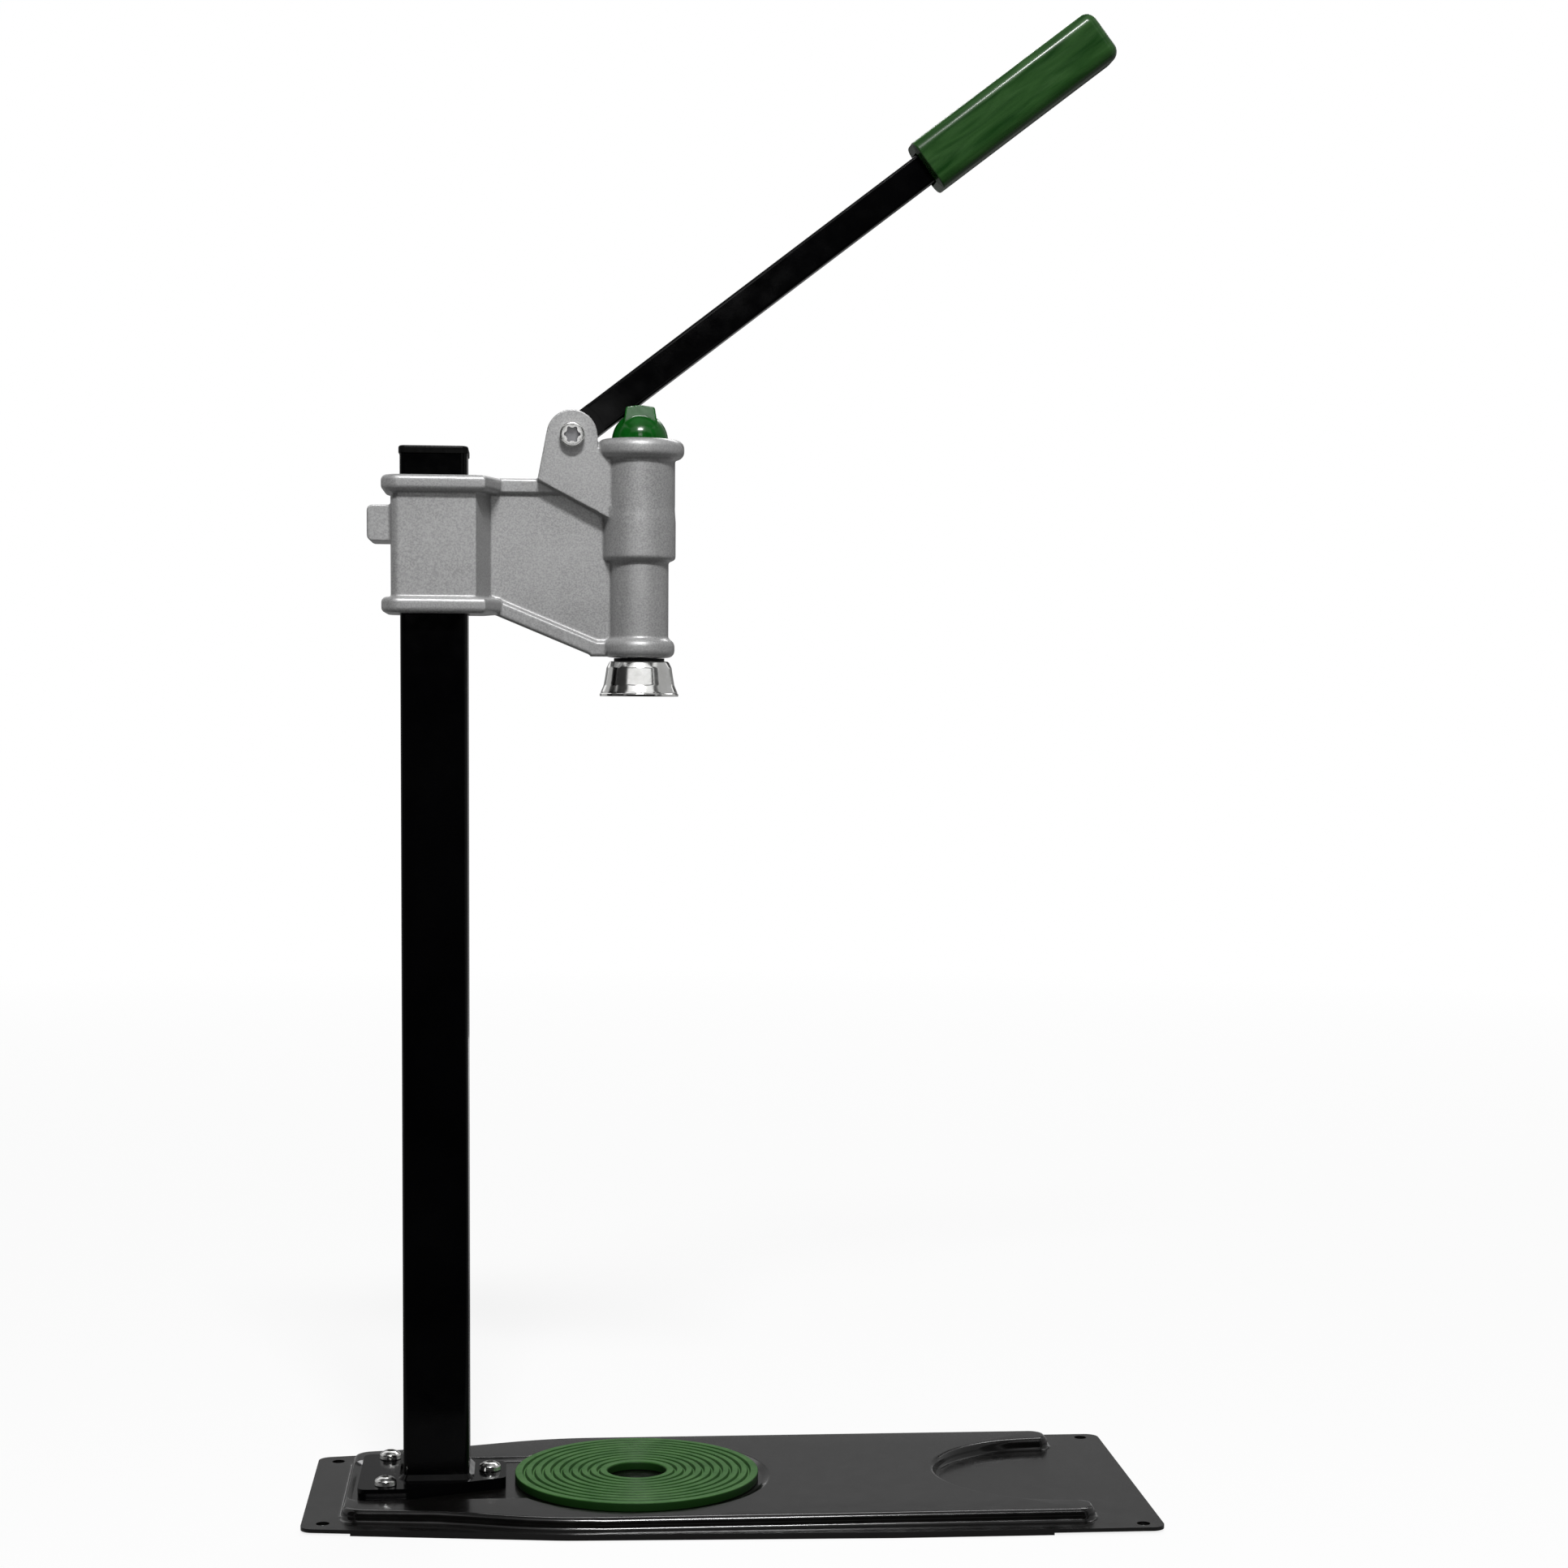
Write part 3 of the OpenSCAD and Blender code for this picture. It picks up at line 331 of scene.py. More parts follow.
@dataclass(frozen=True)
class PowderCoat:
    """Baked paint: slow clouds of tint, orange peel, flakes where it is metallic, and a few motes of dust."""

    name: str
    dark: Colour
    light: Colour
    rough: float
    specular: float
    metallic: float = 0.0
    cloud_pitch: float = 38 * MM
    sheen_pitch: float = 9 * MM
    peel_pitch: float = 1.6 * MM
    peel_depth: float = 0.03 * MM
    flake_pitch: float = 0.45 * MM
    flake_share: float = 0.0
    flake_relief: float = 0.3
    coat: float = 0.0
    coat_rough: float = 0.1
    dust: float = 0.0
    dust_pitch: float = 31 * MM
    mote_share: float = 0.022
    mote: Colour = (0.25, 0.25, 0.24)

    def build(self) -> bpy.types.Material:
        """Make the material.

        Returns:
            The material.
        """
        g = Graph(self.name)
        g.set(Metallic=self.metallic, Specular_IOR_Level=self.specular, Coat_Weight=self.coat,
              Coat_Roughness=self.coat_rough)
        cloud = g.span(g.noise(self.cloud_pitch, 3.0), 0.0, 1.0 - self.flake_share, 0.3, 0.7)
        tint = g.blend(cloud, self.dark, self.light)
        if self.flake_share > 0:
            flake = g.span(g.noise(self.flake_pitch, 3.0), 0.0, self.flake_share, 0.35, 0.65)
            tint = g.blend(flake, tint, self.light)
        if self.dust > 0:
            mote = g.span(g.cells(self.dust_pitch), self.dust, 0.0, 0.0, self.mote_share)
            tint = g.blend(mote, tint, self.mote)
        g.feed("Base Color", tint)
        sheen = g.noise(self.sheen_pitch, 2.0)
        g.feed("Roughness", g.span(sheen, self.rough - 0.04, self.rough + 0.05, 0.3, 0.7))
        peel = g.bump(g.noise(self.peel_pitch, 1.0), self.peel_depth)
        grain = g.noise(self.flake_pitch, 1.0)
        g.feed("Normal", g.bump(grain, self.peel_depth * self.flake_relief, peel))
        return g.material


@dataclass(frozen=True)
class BrightMetal:
    """Plated, turned or polished metal, with smears and fine marks."""

    name: str
    colour: Colour
    smear: Colour
    rough: float
    spread: float = 0.06
    smear_pitch: float = 5 * MM
    sheen_pitch: float = 2.2 * MM
    mark_pitch: float = 0.25 * MM
    mark_depth: float = 0.003 * MM
    stretch: tuple[float, float, float] = (1.0, 1.0, 1.0)

    def build(self) -> bpy.types.Material:
        """Make the material.

        Returns:
            The material.
        """
        g = Graph(self.name)
        g.set(Metallic=1.0)
        smear = g.span(g.noise(self.smear_pitch, 4.0, warp=0.6), 0.0, 1.0, 0.35, 0.7)
        g.feed("Base Color", g.blend(smear, self.colour, self.smear))
        sheen = g.noise(self.sheen_pitch, 3.0)
        g.feed("Roughness", g.span(sheen, self.rough, self.rough + self.spread, 0.35, 0.7))
        marks = g.noise(self.mark_pitch, 2.0, g.mapped(self.stretch))
        g.feed("Normal", g.bump(marks, self.mark_depth))
        return g.material


@dataclass(frozen=True)
class Moulding:
    """Glossy moulded plastic whose pigment runs in streaks along the flow."""

    name: str
    deep: Colour
    pale: Colour
    rough: float
    coat: float
    specular: float
    flow_turn: tuple[float, float, float] = (0.0, 0.0, 0.0)
    flow_stretch: tuple[float, float, float] = (1.0, 1.0, 1.0)
    streak_pitch: float = 6 * MM
    sheen_pitch: float = 3 * MM
    wave_pitch: float = 14 * MM
    wave_depth: float = 0.02 * MM

    def build(self) -> bpy.types.Material:
        """Make the material.

        Returns:
            The material.
        """
        g = Graph(self.name)
        g.set(Coat_Weight=self.coat, Coat_Roughness=0.06, Specular_IOR_Level=self.specular)
        flow = g.mapped(self.flow_stretch, self.flow_turn)
        streak = g.span(g.noise(self.streak_pitch, 5.0, flow, 0.8), 0.0, 1.0, 0.32, 0.72)
        g.feed("Base Color", g.blend(streak, self.deep, self.pale))
        sheen = g.noise(self.sheen_pitch, 3.0, flow)
        g.feed("Roughness", g.span(sheen, self.rough, self.rough + 0.12, 0.3, 0.75))
        g.feed("Normal", g.bump(g.noise(self.wave_pitch, 1.0), self.wave_depth))
        return g.material


@dataclass(frozen=True)
class Rubber:
    """Soft moulded rubber with a waxy bloom on its lands, and painted shade that darkens its walls and sides.
    """

    name: str
    # Painted shade: the darker colour that walls and sides take
    painted_wall_shade: Colour
    deep: Colour
    bloom: Colour
    rough: float
    specular: float
    bloom_pitch: float = 13 * MM
    sheen_pitch: float = 6 * MM
    grain_pitch: float = 0.5 * MM
    grain_depth: float = 0.02 * MM

    def build(self) -> bpy.types.Material:
        """Make the material.

        Returns:
            The material.
        """
        g = Graph(self.name)
        g.set(Specular_IOR_Level=self.specular)
        bloom = g.span(g.noise(self.bloom_pitch, 4.0), 0.0, 1.0, 0.35, 0.7)
        # Painted shade: the less the surface faces up, the more its colour runs into the darker colour of the
        # walls
        g.feed("Base Color", g.blend(g.upward(), self.painted_wall_shade, g.blend(bloom, self.deep, self.bloom)))
        sheen = g.noise(self.sheen_pitch, 3.0)
        g.feed("Roughness", g.span(sheen, self.rough - 0.06, self.rough + 0.08, 0.3, 0.7))
        g.feed("Normal", g.bump(g.noise(self.grain_pitch, 2.0), self.grain_depth))
        return g.material


LEVER_TILT = math.radians(37.5)

FINISHES: dict[Slot, PowderCoat | BrightMetal | Moulding | Rubber] = {
    Slot.BASE_PAINT: PowderCoat(
        "charcoal_powder_coat", dark=(0.0016, 0.0015, 0.0014), light=(0.0034, 0.0032, 0.003), rough=0.2,
        specular=0.3, peel_pitch=3 * MM, peel_depth=0.003 * MM, coat=0.4, coat_rough=0.12),
    Slot.BLACK_PAINT: PowderCoat(
        "black_powder_coat", dark=(0.0005, 0.0005, 0.0006), light=(0.0014, 0.0014, 0.0016), rough=0.14,
        specular=0.16, peel_pitch=2.4 * MM, peel_depth=0.008 * MM, dust=0.4),
    Slot.SILVER_COAT: PowderCoat(
        "silver_powder_coat", dark=(0.27, 0.27, 0.272), light=(0.46, 0.46, 0.46), rough=0.46, specular=0.25,
        metallic=0.4, peel_pitch=1.6 * MM, peel_depth=0.05 * MM, flake_pitch=0.9 * MM, flake_share=0.7,
        coat=0.35),
    Slot.ZINC: BrightMetal(
        "bright_zinc", colour=(0.84, 0.84, 0.83), smear=(0.66, 0.66, 0.64), rough=0.15),
    Slot.BRIGHT_STEEL: BrightMetal(
        "ground_steel", colour=(0.66, 0.66, 0.65), smear=(0.55, 0.55, 0.54), rough=0.2,
        stretch=(1.0, 1.0, 0.16)),
    Slot.SPRING_STEEL: BrightMetal(
        "spring_steel", colour=(0.34, 0.34, 0.35), smear=(0.22, 0.22, 0.23), rough=0.32),
    Slot.CHROME: BrightMetal(
        "polished_chrome", colour=(0.86, 0.86, 0.85), smear=(0.76, 0.76, 0.74), rough=0.11, spread=0.07,
        stretch=(3.0, 3.0, 0.33)),
    Slot.BRONZE: BrightMetal(
        "oiled_bronze", colour=(0.52, 0.36, 0.19), smear=(0.38, 0.25, 0.12), rough=0.34),
    Slot.MAGNET: BrightMetal(
        "nickel_magnet", colour=(0.55, 0.55, 0.54), smear=(0.42, 0.42, 0.41), rough=0.28),
    # Painted shade: each rubber's first colour darkens its walls and sides
    Slot.GREEN_RUBBER: Rubber(
        "green_rubber", painted_wall_shade=(0.006, 0.028, 0.004), deep=(0.026, 0.1, 0.017), bloom=(0.05, 0.145, 0.034),
        rough=0.46, specular=0.13),
    Slot.BLACK_RUBBER: Rubber(
        "black_rubber", painted_wall_shade=(0.006, 0.006, 0.006), deep=(0.008, 0.008, 0.008), bloom=(0.012, 0.012, 0.012),
        rough=0.6, specular=0.2),
    Slot.GREEN_PLASTIC: Moulding(
        "green_saddle_plastic", deep=(0.0015, 0.055, 0.003), pale=(0.004, 0.085, 0.008), rough=0.14,
        coat=0.15, specular=0.2),
    Slot.GREEN_GRIP: Moulding(
        "green_grip_plastic", deep=(0.007, 0.036, 0.006), pale=(0.032, 0.088, 0.024), rough=0.2, coat=0.12,
        specular=0.15, flow_turn=(0.0, -LEVER_TILT, 0.0), flow_stretch=(7.0, 1.0, 1.0)),
    Slot.BLACK_PLASTIC: Moulding(
        "black_cap_plastic", deep=(0.002, 0.002, 0.002), pale=(0.006, 0.006, 0.006), rough=0.3, coat=0.0,
        specular=0.06),
}


class Palette:
    """Materials made once per slot and shared by the pieces."""

    def __init__(self) -> None:
        """Start with no material made."""
        self.made: dict[Slot, bpy.types.Material] = {}

    def get(self, slot: Slot) -> bpy.types.Material:
        """The slot's material, made at its first use.

        Args:
            slot: The record's slot.

        Returns:
            The material.
        """
        if slot not in self.made:
            self.made[slot] = FINISHES[slot].build()
        return self.made[slot]

    def dress(self, piece: bpy.types.Object, slot: Slot) -> None:
        """Give a piece its slot's material alone.

        Args:
            piece: The piece.
            slot: The record's slot.
        """
        piece.data.materials.clear()
        piece.data.materials.append(self.get(slot))


def deselect() -> None:
    """Leave nothing selected and nothing active."""
    if bpy.context.object is not None and bpy.context.object.mode != "OBJECT":
        bpy.ops.object.mode_set(mode="OBJECT")
    bpy.ops.object.select_all(action="DESELECT")
    bpy.context.view_layer.objects.active = None


def activate(piece: bpy.types.Object) -> None:
    """Make one object the only selected one and the active one.

    Args:
        piece: The object.
    """
    deselect()
    piece.select_set(True)
    bpy.context.view_layer.objects.active = piece


def named(name: str) -> bpy.types.Object:
    """Name the object that an operator just added.

    Args:
        name: Name of the object and its mesh.

    Returns:
        The object.
    """
    piece = bpy.context.object
    piece.name = name
    piece.data.name = name
    return piece


def modify(piece: bpy.types.Object, kind: str, **settings: object) -> None:
    """Add a modifier and apply it.

    Args:
        piece: The object.
        kind: The modifier's type.
        settings: The modifier's settings.
    """
    activate(piece)
    modifier = piece.modifiers.new(kind.lower(), kind)
    for key, value in settings.items():
        setattr(modifier, key, value)
    bpy.ops.object.modifier_apply(modifier=modifier.name)


def pick(piece: bpy.types.Object, element: Element, wanted: Callable[[Vector, Vector], bool]) -> int:
    """Select the faces or edges of a piece in edit mode, by their place.

    Args:
        piece: The object, in edit mode.
        element: Whether faces or edges are picked.
        wanted: Told a face's middle and normal, or an edge's two ends, says whether it is wanted.

    Returns:
        How many were selected.
    """
    bpy.ops.mesh.select_mode(type=element.value)
    bpy.ops.mesh.select_all(action="DESELECT")
    bpy.ops.object.mode_set(mode="OBJECT")
    mesh = piece.data
    count = 0
    if element is Element.FACE:
        for face in mesh.polygons:
            face.select = wanted(face.center, face.normal)
            count += face.select
    else:
        for edge in mesh.edges:
            first, second = (mesh.vertices[i].co for i in edge.vertices)
            edge.select = wanted(first, second)
            count += edge.select
    bpy.ops.object.mode_set(mode="EDIT")
    return count


def close_up(piece: bpy.types.Object, angle: float) -> None:
    """Merge doubles, turn the faces outwards and shade smooth by angle.

    Args:
        piece: The object.
        angle: Edges sharper than this many degrees stay sharp.
    """
    activate(piece)
    bpy.ops.object.mode_set(mode="EDIT")
    bpy.ops.mesh.select_all(action="SELECT")
    bpy.ops.mesh.remove_doubles(threshold=2 * WELD)
    bpy.ops.mesh.normals_make_consistent(inside=False)
    bpy.ops.object.mode_set(mode="OBJECT")
    bpy.ops.object.shade_smooth_by_angle(angle=math.radians(angle))


def place(piece: bpy.types.Object, matrix: Matrix) -> None:
    """Move a piece by a matrix and put that into its mesh.

    Args:
        piece: The object.
        matrix: Its new place.
    """
    piece.matrix_world = matrix @ piece.matrix_world
    activate(piece)
    bpy.ops.object.transform_apply(location=True, rotation=True, scale=True)


def cad_copy(node: str, name: str) -> bpy.types.Object:
    """Copy a CAD node's mesh into a new piece and weld its loose triangles.

    Args:
        node: Name of the CAD node.
        name: Name of the piece.

    Returns:
        The piece.
    """
    source = bpy.data.objects[node]
    piece = bpy.data.objects.new(name, source.data.copy())
    piece.data.name = name
    bpy.context.scene.collection.objects.link(piece)
    activate(piece)
    bpy.ops.mesh.customdata_custom_splitnormals_clear()
    bpy.ops.object.mode_set(mode="EDIT")
    bpy.ops.mesh.select_all(action="SELECT")
    bpy.ops.mesh.remove_doubles(threshold=WELD)
    bpy.ops.object.mode_set(mode="OBJECT")
    return piece


def rounded(corners: Sequence[Corner], steps: int) -> list[tuple[float, float]]:
    """Round the corners of a closed profile.

    Args:
        corners: The corners, in order.
        steps: Segments in each fillet.

    Returns:
        The profile's points.
    """
    points = [(Vector(corner[:2]), corner[2]) for corner in corners]
    outline: list[tuple[float, float]] = []
    for i, (corner, fillet) in enumerate(points):
        if fillet <= 0:
            outline.append(tuple(corner))
            continue
        back = (points[i - 1][0] - corner).normalized()
        on = (points[(i + 1) % len(points)][0] - corner).normalized()
        half = back.angle(on) / 2
        centre = corner + (back + on).normalized() * (fillet / math.sin(half))
        start = corner + back * (fillet / math.tan(half)) - centre
        end = corner + on * (fillet / math.tan(half)) - centre
        first = math.atan2(start.y, start.x)
        turn = (math.atan2(end.y, end.x) - first + math.pi) % (2 * math.pi) - math.pi
        for k in range(steps + 1):
            a = first + turn * k / steps
            outline.append((centre.x + fillet * math.cos(a), centre.y + fillet * math.sin(a)))
    return outline


def turned(name: str, profile: Sequence[Sequence[float]], axis: Vector, steps: int,
           angle: float) -> bpy.types.Object:
    """Spin a closed profile round a vertical axis.

    Args:
        name: Name of the piece.
        profile: Points (radius, height above the axis point).
        axis: Point on the axis that heights are measured from.
        steps: Steps round the axis.
        angle: Edges sharper than this many degrees stay sharp.

    Returns:
        The piece.
    """
    deselect()
    bpy.ops.mesh.primitive_plane_add(size=1 * MM, location=(0, 0, 0))
    piece = named(name)
    bpy.ops.object.mode_set(mode="EDIT")
    bpy.ops.mesh.select_mode(type="VERT")
    bpy.ops.mesh.select_all(action="SELECT")
    bpy.ops.mesh.merge(type="CENTER")
    at = axis + Vector((profile[0][0], 0, profile[0][1]))
    bpy.ops.transform.translate(value=at)
    for radius, height in [*profile[1:], profile[0]]:
        goal = axis + Vector((radius, 0, height))
        bpy.ops.mesh.extrude_region_move(TRANSFORM_OT_translate={"value": goal - at})
        at = goal
    bpy.ops.mesh.select_all(action="SELECT")
    bpy.ops.mesh.remove_doubles(threshold=WELD)
    bpy.ops.mesh.spin(steps=steps, angle=2 * math.pi, center=axis, axis=(0, 0, 1))
    close_up(piece, angle)
    return piece


def ride(piece: bpy.types.Object, body: Body, slot: Slot, palette: Palette, *nodes: str) -> None:
    """Dress a piece, put it on its body and hide the CAD nodes that it stands for.

    Args:
        piece: The piece.
        body: The body that it rides on.
        slot: The slot of its finish.
        palette: The materials.
        nodes: CAD nodes that it replaces.
    """
    palette.dress(piece, slot)
    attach(piece, body.value)
    if nodes:
        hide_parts(*nodes)
    LOG.info("%s: %d faces on %s", piece.name, len(piece.data.polygons), body.value)


def smooth_copy(node: str, name: str, body: Body, slot: Slot, palette: Palette) -> None:
    """Stand a welded copy in for a CAD node, so that its bends and rounds shade as one surface.

    Args:
        node: Name of the CAD node.
        name: Name of the piece.
        body: The body that it rides on.
        slot: The slot of its finish.
        palette: The materials.
    """
    piece = cad_copy(node, name)
    activate(piece)
    bpy.ops.object.shade_smooth_by_angle(angle=math.radians(40))
    modify(piece, "WEIGHTED_NORMAL", keep_sharp=True, weight=60)
    ride(piece, body, slot, palette, node)


def middle(node: str) -> Vector:
    """The middle of a CAD node's box.

    Args:
        node: Name of the CAD node.

    Returns:
        The point.
    """
    low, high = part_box(node)
    return (low + high) / 2


def foot(node: str) -> Vector:
    """The middle of the bottom of a CAD node's box.

    Args:
        node: Name of the CAD node.

    Returns:
        The point.
    """
    point = middle(node)
    point.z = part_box(node)[0].z
    return point


@dataclass
class BaseAssembly:
    """Pressed base plate, painted column and foot, ribbed bottle pad, and the column's cap."""

    palette: Palette
    pad_hole: float = 15.9 * MM
    pad_hole_fillet: float = 1.2 * MM
    pad_edge_fillet: float = 0.7 * MM
    pad_foot_fillets: tuple[float, float] = (0.5 * MM, 0.6 * MM)
    groove_count: int = 9
    groove_pitch: float = 5 * MM
    groove_depth: float = 1.5 * MM
    groove_floor: float = 0.7 * MM
    groove_top: float = 2.1 * MM
    groove_fillets: tuple[float, float] = (0.3 * MM, 0.15 * MM)
    cap_corner: float = 3.6 * MM
    cap_height: float = 4 * MM
    cap_edge: float = 1.2 * MM
    cap_rim_edge: float = 0.3 * MM
    plug_step: float = 2.9 * MM

    def build(self) -> None:
        """Build every piece of the base."""
        smooth_copy("base_plate", "pressed_base", Body.BASE, Slot.BASE_PAINT, self.palette)
        smooth_copy("column", "painted_column", Body.BASE, Slot.BLACK_PAINT, self.palette)
        smooth_copy("foot_plate", "painted_foot", Body.BASE, Slot.BLACK_PAINT, self.palette)
        self.pad()
        self.cap()

    def pad(self) -> None:
        """The ribbed rubber pad, spun from its section."""
        low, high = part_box("bottle_pad")
        outer = (high.x - low.x) / 2
        thick = high.z - low.z
        first = self.pad_hole + (outer - self.pad_hole - (self.groove_count - 1) * self.groove_pitch) / 2
        section = [(self.pad_hole, 0.0, self.pad_foot_fillets[0]), (outer, 0.0, self.pad_foot_fillets[1]),
                   (outer, thick, self.pad_edge_fillet)]
        for i in reversed(range(self.groove_count)):
            section += self.groove(first + i * self.groove_pitch, thick)
        section.append((self.pad_hole, thick, self.pad_hole_fillet))
        piece = turned("ribbed_pad", rounded(section, 3), foot("bottle_pad"), 144, 60.0)
        ride(piece, Body.BASE, Slot.GREEN_RUBBER, self.palette, "bottle_pad")

    def groove(self, at: float, thick: float) -> list[Corner]:
        """One groove of the pad's section, from its outer side to its inner side.

        Args:
            at: The radius of its middle.
            thick: The pad's thickness.

        Returns:
            Its four corners.
        """
        lip, bed = self.groove_fillets
        return [
            (at + self.groove_top / 2, thick, lip),
            (at + self.groove_floor / 2, thick - self.groove_depth, bed),
            (at - self.groove_floor / 2, thick - self.groove_depth, bed),
            (at - self.groove_top / 2, thick, lip),
        ]

    def cap(self) -> None:
        """The column's end cap with its plug, from one cube."""
        low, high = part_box("column_cap")
        side = high.x - low.x
        rim = high.z - self.cap_height
        centre = middle("column_cap")
        centre.z = high.z - self.cap_height / 2
        deselect()
        bpy.ops.mesh.primitive_cube_add(size=1, location=centre, scale=(side, side, self.cap_height))
        piece = named("end_cap")
        bpy.ops.object.transform_apply(location=True, rotation=True, scale=True)
        bpy.ops.object.mode_set(mode="EDIT")
        pick(piece, Element.FACE, lambda c, n: n.z < -0.9)
        bpy.ops.mesh.inset(thickness=self.plug_step)
        bpy.ops.mesh.extrude_region_move(TRANSFORM_OT_translate={"value": (0, 0, low.z - rim)})
        pick(piece, Element.EDGE, lambda a, b: abs(a.z - b.z) > 1 * MM and min(a.z, b.z) > rim - NEAR)
        bpy.ops.mesh.bevel(offset=self.cap_corner, segments=8, profile=0.5, affect="EDGES")
        pick(piece, Element.EDGE, lambda a, b: min(a.z, b.z) > high.z - NEAR)
        bpy.ops.mesh.bevel(offset=self.cap_edge, segments=4, profile=0.5, affect="EDGES")
        pick(piece, Element.EDGE, lambda a, b: abs(a.z - rim) < NEAR and abs(b.z - rim) < NEAR
             and max(abs(a.x - centre.x), abs(a.y - centre.y)) > side / 2 - self.cap_corner * 1.2)
        bpy.ops.mesh.bevel(offset=self.cap_rim_edge, segments=2, profile=0.5, affect="EDGES")
        close_up(piece, 35.0)
        modify(piece, "WEIGHTED_NORMAL", keep_sharp=True)
        ride(piece, Body.BASE, Slot.BLACK_PLASTIC, self.palette, "column_cap")


@dataclass
class HeadAssembly:
    """The cast head that slides on the column, and its pivot bolt."""

    palette: Palette
    grain: float = 0.55 * MM
    soften: int = 3
    faces_kept: float = 0.26
    step_height: float = 75.6 * MM
    step_band: float = 4 * MM
    step_repeats: int = 60
    barrel_r: tuple[float, float] = (18.2 * MM, 19.6 * MM)
    recess_r: float = 4.9 * MM
    recess_depth: float = 4.2 * MM
    bolt_face: float = 0.05 * MM

    def build(self) -> None:
        """Build every piece of the head."""
        self.casting()
        self.bolt()

    def bolt(self) -> None:
        """The pivot bolt, with painted shade: the faces of its head's lobed recess take the darker spring
        steel finish.
        """
        piece = cad_copy("pivot_bolt", "lobed_bolt")
        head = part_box("pivot_bolt")[0].y
        axis = middle("pivot_bolt")
        ride(piece, Body.HEAD, Slot.ZINC, self.palette, "pivot_bolt")
        piece.data.materials.append(self.palette.get(Slot.SPRING_STEEL))
        activate(piece)
        bpy.ops.object.mode_set(mode="EDIT")
        # Painted shade: faces inside the lobed recess are picked and given the darker finish
        pick(piece, Element.FACE, lambda c, n: head + self.bolt_face < c.y < head + self.recess_depth
             and math.hypot(c.x - axis.x, c.z - axis.z) < self.recess_r)
        piece.active_material_index = 1
        bpy.ops.object.material_slot_assign()
        bpy.ops.object.mode_set(mode="OBJECT")
        bpy.ops.object.shade_smooth_by_angle(angle=math.radians(35))

    def casting(self) -> None:
        """The casting, with its edges softened as sand casting leaves them."""
        piece = cad_copy("head_casting", "cast_head")
        modify(piece, "REMESH", mode="VOXEL", voxel_size=self.grain, adaptivity=0.0)
        modify(piece, "SMOOTH", factor=0.5, iterations=self.soften)
        self.fade_step(piece)
        modify(piece, "DECIMATE", decimate_type="COLLAPSE", ratio=self.faces_kept)
        activate(piece)
        bpy.ops.object.shade_smooth()
        ride(piece, Body.HEAD, Slot.SILVER_COAT, self.palette, "head_casting")

    def fade_step(self, piece: bpy.types.Object) -> None:
        """Let the barrel's small step run out, as sand casting leaves it.

        Args:
            piece: The casting.
        """
        axis = middle("plunger_rod")
        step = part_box("head_casting")[0].z + self.step_height
        activate(piece)
        bpy.ops.object.mode_set(mode="EDIT")
        count = pick(piece, Element.FACE, lambda c, n: abs(c.z - step) < self.step_band and abs(n.z) < 0.9
                     and self.barrel_r[0] < (c.xy - axis.xy).length < self.barrel_r[1])
        bpy.ops.mesh.select_mode(type="VERT")
        bpy.ops.mesh.vertices_smooth(factor=0.5, repeat=self.step_repeats)
        bpy.ops.object.mode_set(mode="OBJECT")
        LOG.info("%s: %d faces of the step smoothed", piece.name, count)


@dataclass
class LeverAssembly:
    """The lever's painted root and bar, and the moulded grip on its end."""

    palette: Palette
    pivot: Vector
    length: float = 118 * MM
    width: float = 25.8 * MM
    height: float = 29.1 * MM
    reach: float = 353 * MM
    corner: float = 6.6 * MM
    far_edge: float = 5.9 * MM
    near_edge: float = 1.0 * MM
    bar_gap: float = 5.75 * MM
    pocket: float = 112 * MM

    def build(self) -> None:
        """Build every piece of the lever."""
        smooth_copy("lever_root", "painted_root", Body.LEVER, Slot.BLACK_PAINT, self.palette)
        smooth_copy("lever_bar", "painted_bar", Body.LEVER, Slot.BLACK_PAINT, self.palette)
        self.grip()

    def grip(self) -> None:
        """The grip, built along +X from the pivot and then turned to the lever's angle."""
        start = self.reach - self.length
        deselect()
        bpy.ops.mesh.primitive_cube_add(size=1, location=(start + self.length / 2, 0, 0),
                                        scale=(self.length, self.width, self.height))
        piece = named("moulded_grip")
        bpy.ops.object.transform_apply(location=True, rotation=True, scale=True)
        bpy.ops.object.mode_set(mode="EDIT")
        pick(piece, Element.EDGE, lambda a, b: abs(a.x - b.x) > self.length / 2)
        bpy.ops.mesh.bevel(offset=self.corner, segments=10, profile=0.5, affect="EDGES")
        pick(piece, Element.EDGE, lambda a, b: min(a.x, b.x) > self.reach - NEAR)
        bpy.ops.mesh.bevel(offset=self.far_edge, segments=8, profile=0.5, affect="EDGES")
        pick(piece, Element.EDGE, lambda a, b: max(a.x, b.x) < start + NEAR)
        bpy.ops.mesh.bevel(offset=self.near_edge, segments=4, profile=0.5, affect="EDGES")
        pick(piece, Element.FACE, lambda c, n: n.x < -0.9 and c.x < start + NEAR)
        bpy.ops.mesh.inset(thickness=self.bar_gap - self.near_edge)
        bpy.ops.mesh.extrude_region_move(TRANSFORM_OT_translate={"value": (self.pocket, 0, 0)})
        close_up(piece, 50.0)
        modify(piece, "WEIGHTED_NORMAL", keep_sharp=True)
        turn = Matrix.Translation(self.pivot) @ Matrix.Rotation(-LEVER_TILT, 4, "Y")
        place(piece, turn)
        ride(piece, Body.LEVER, Slot.GREEN_GRIP, self.palette, "lever_grip")


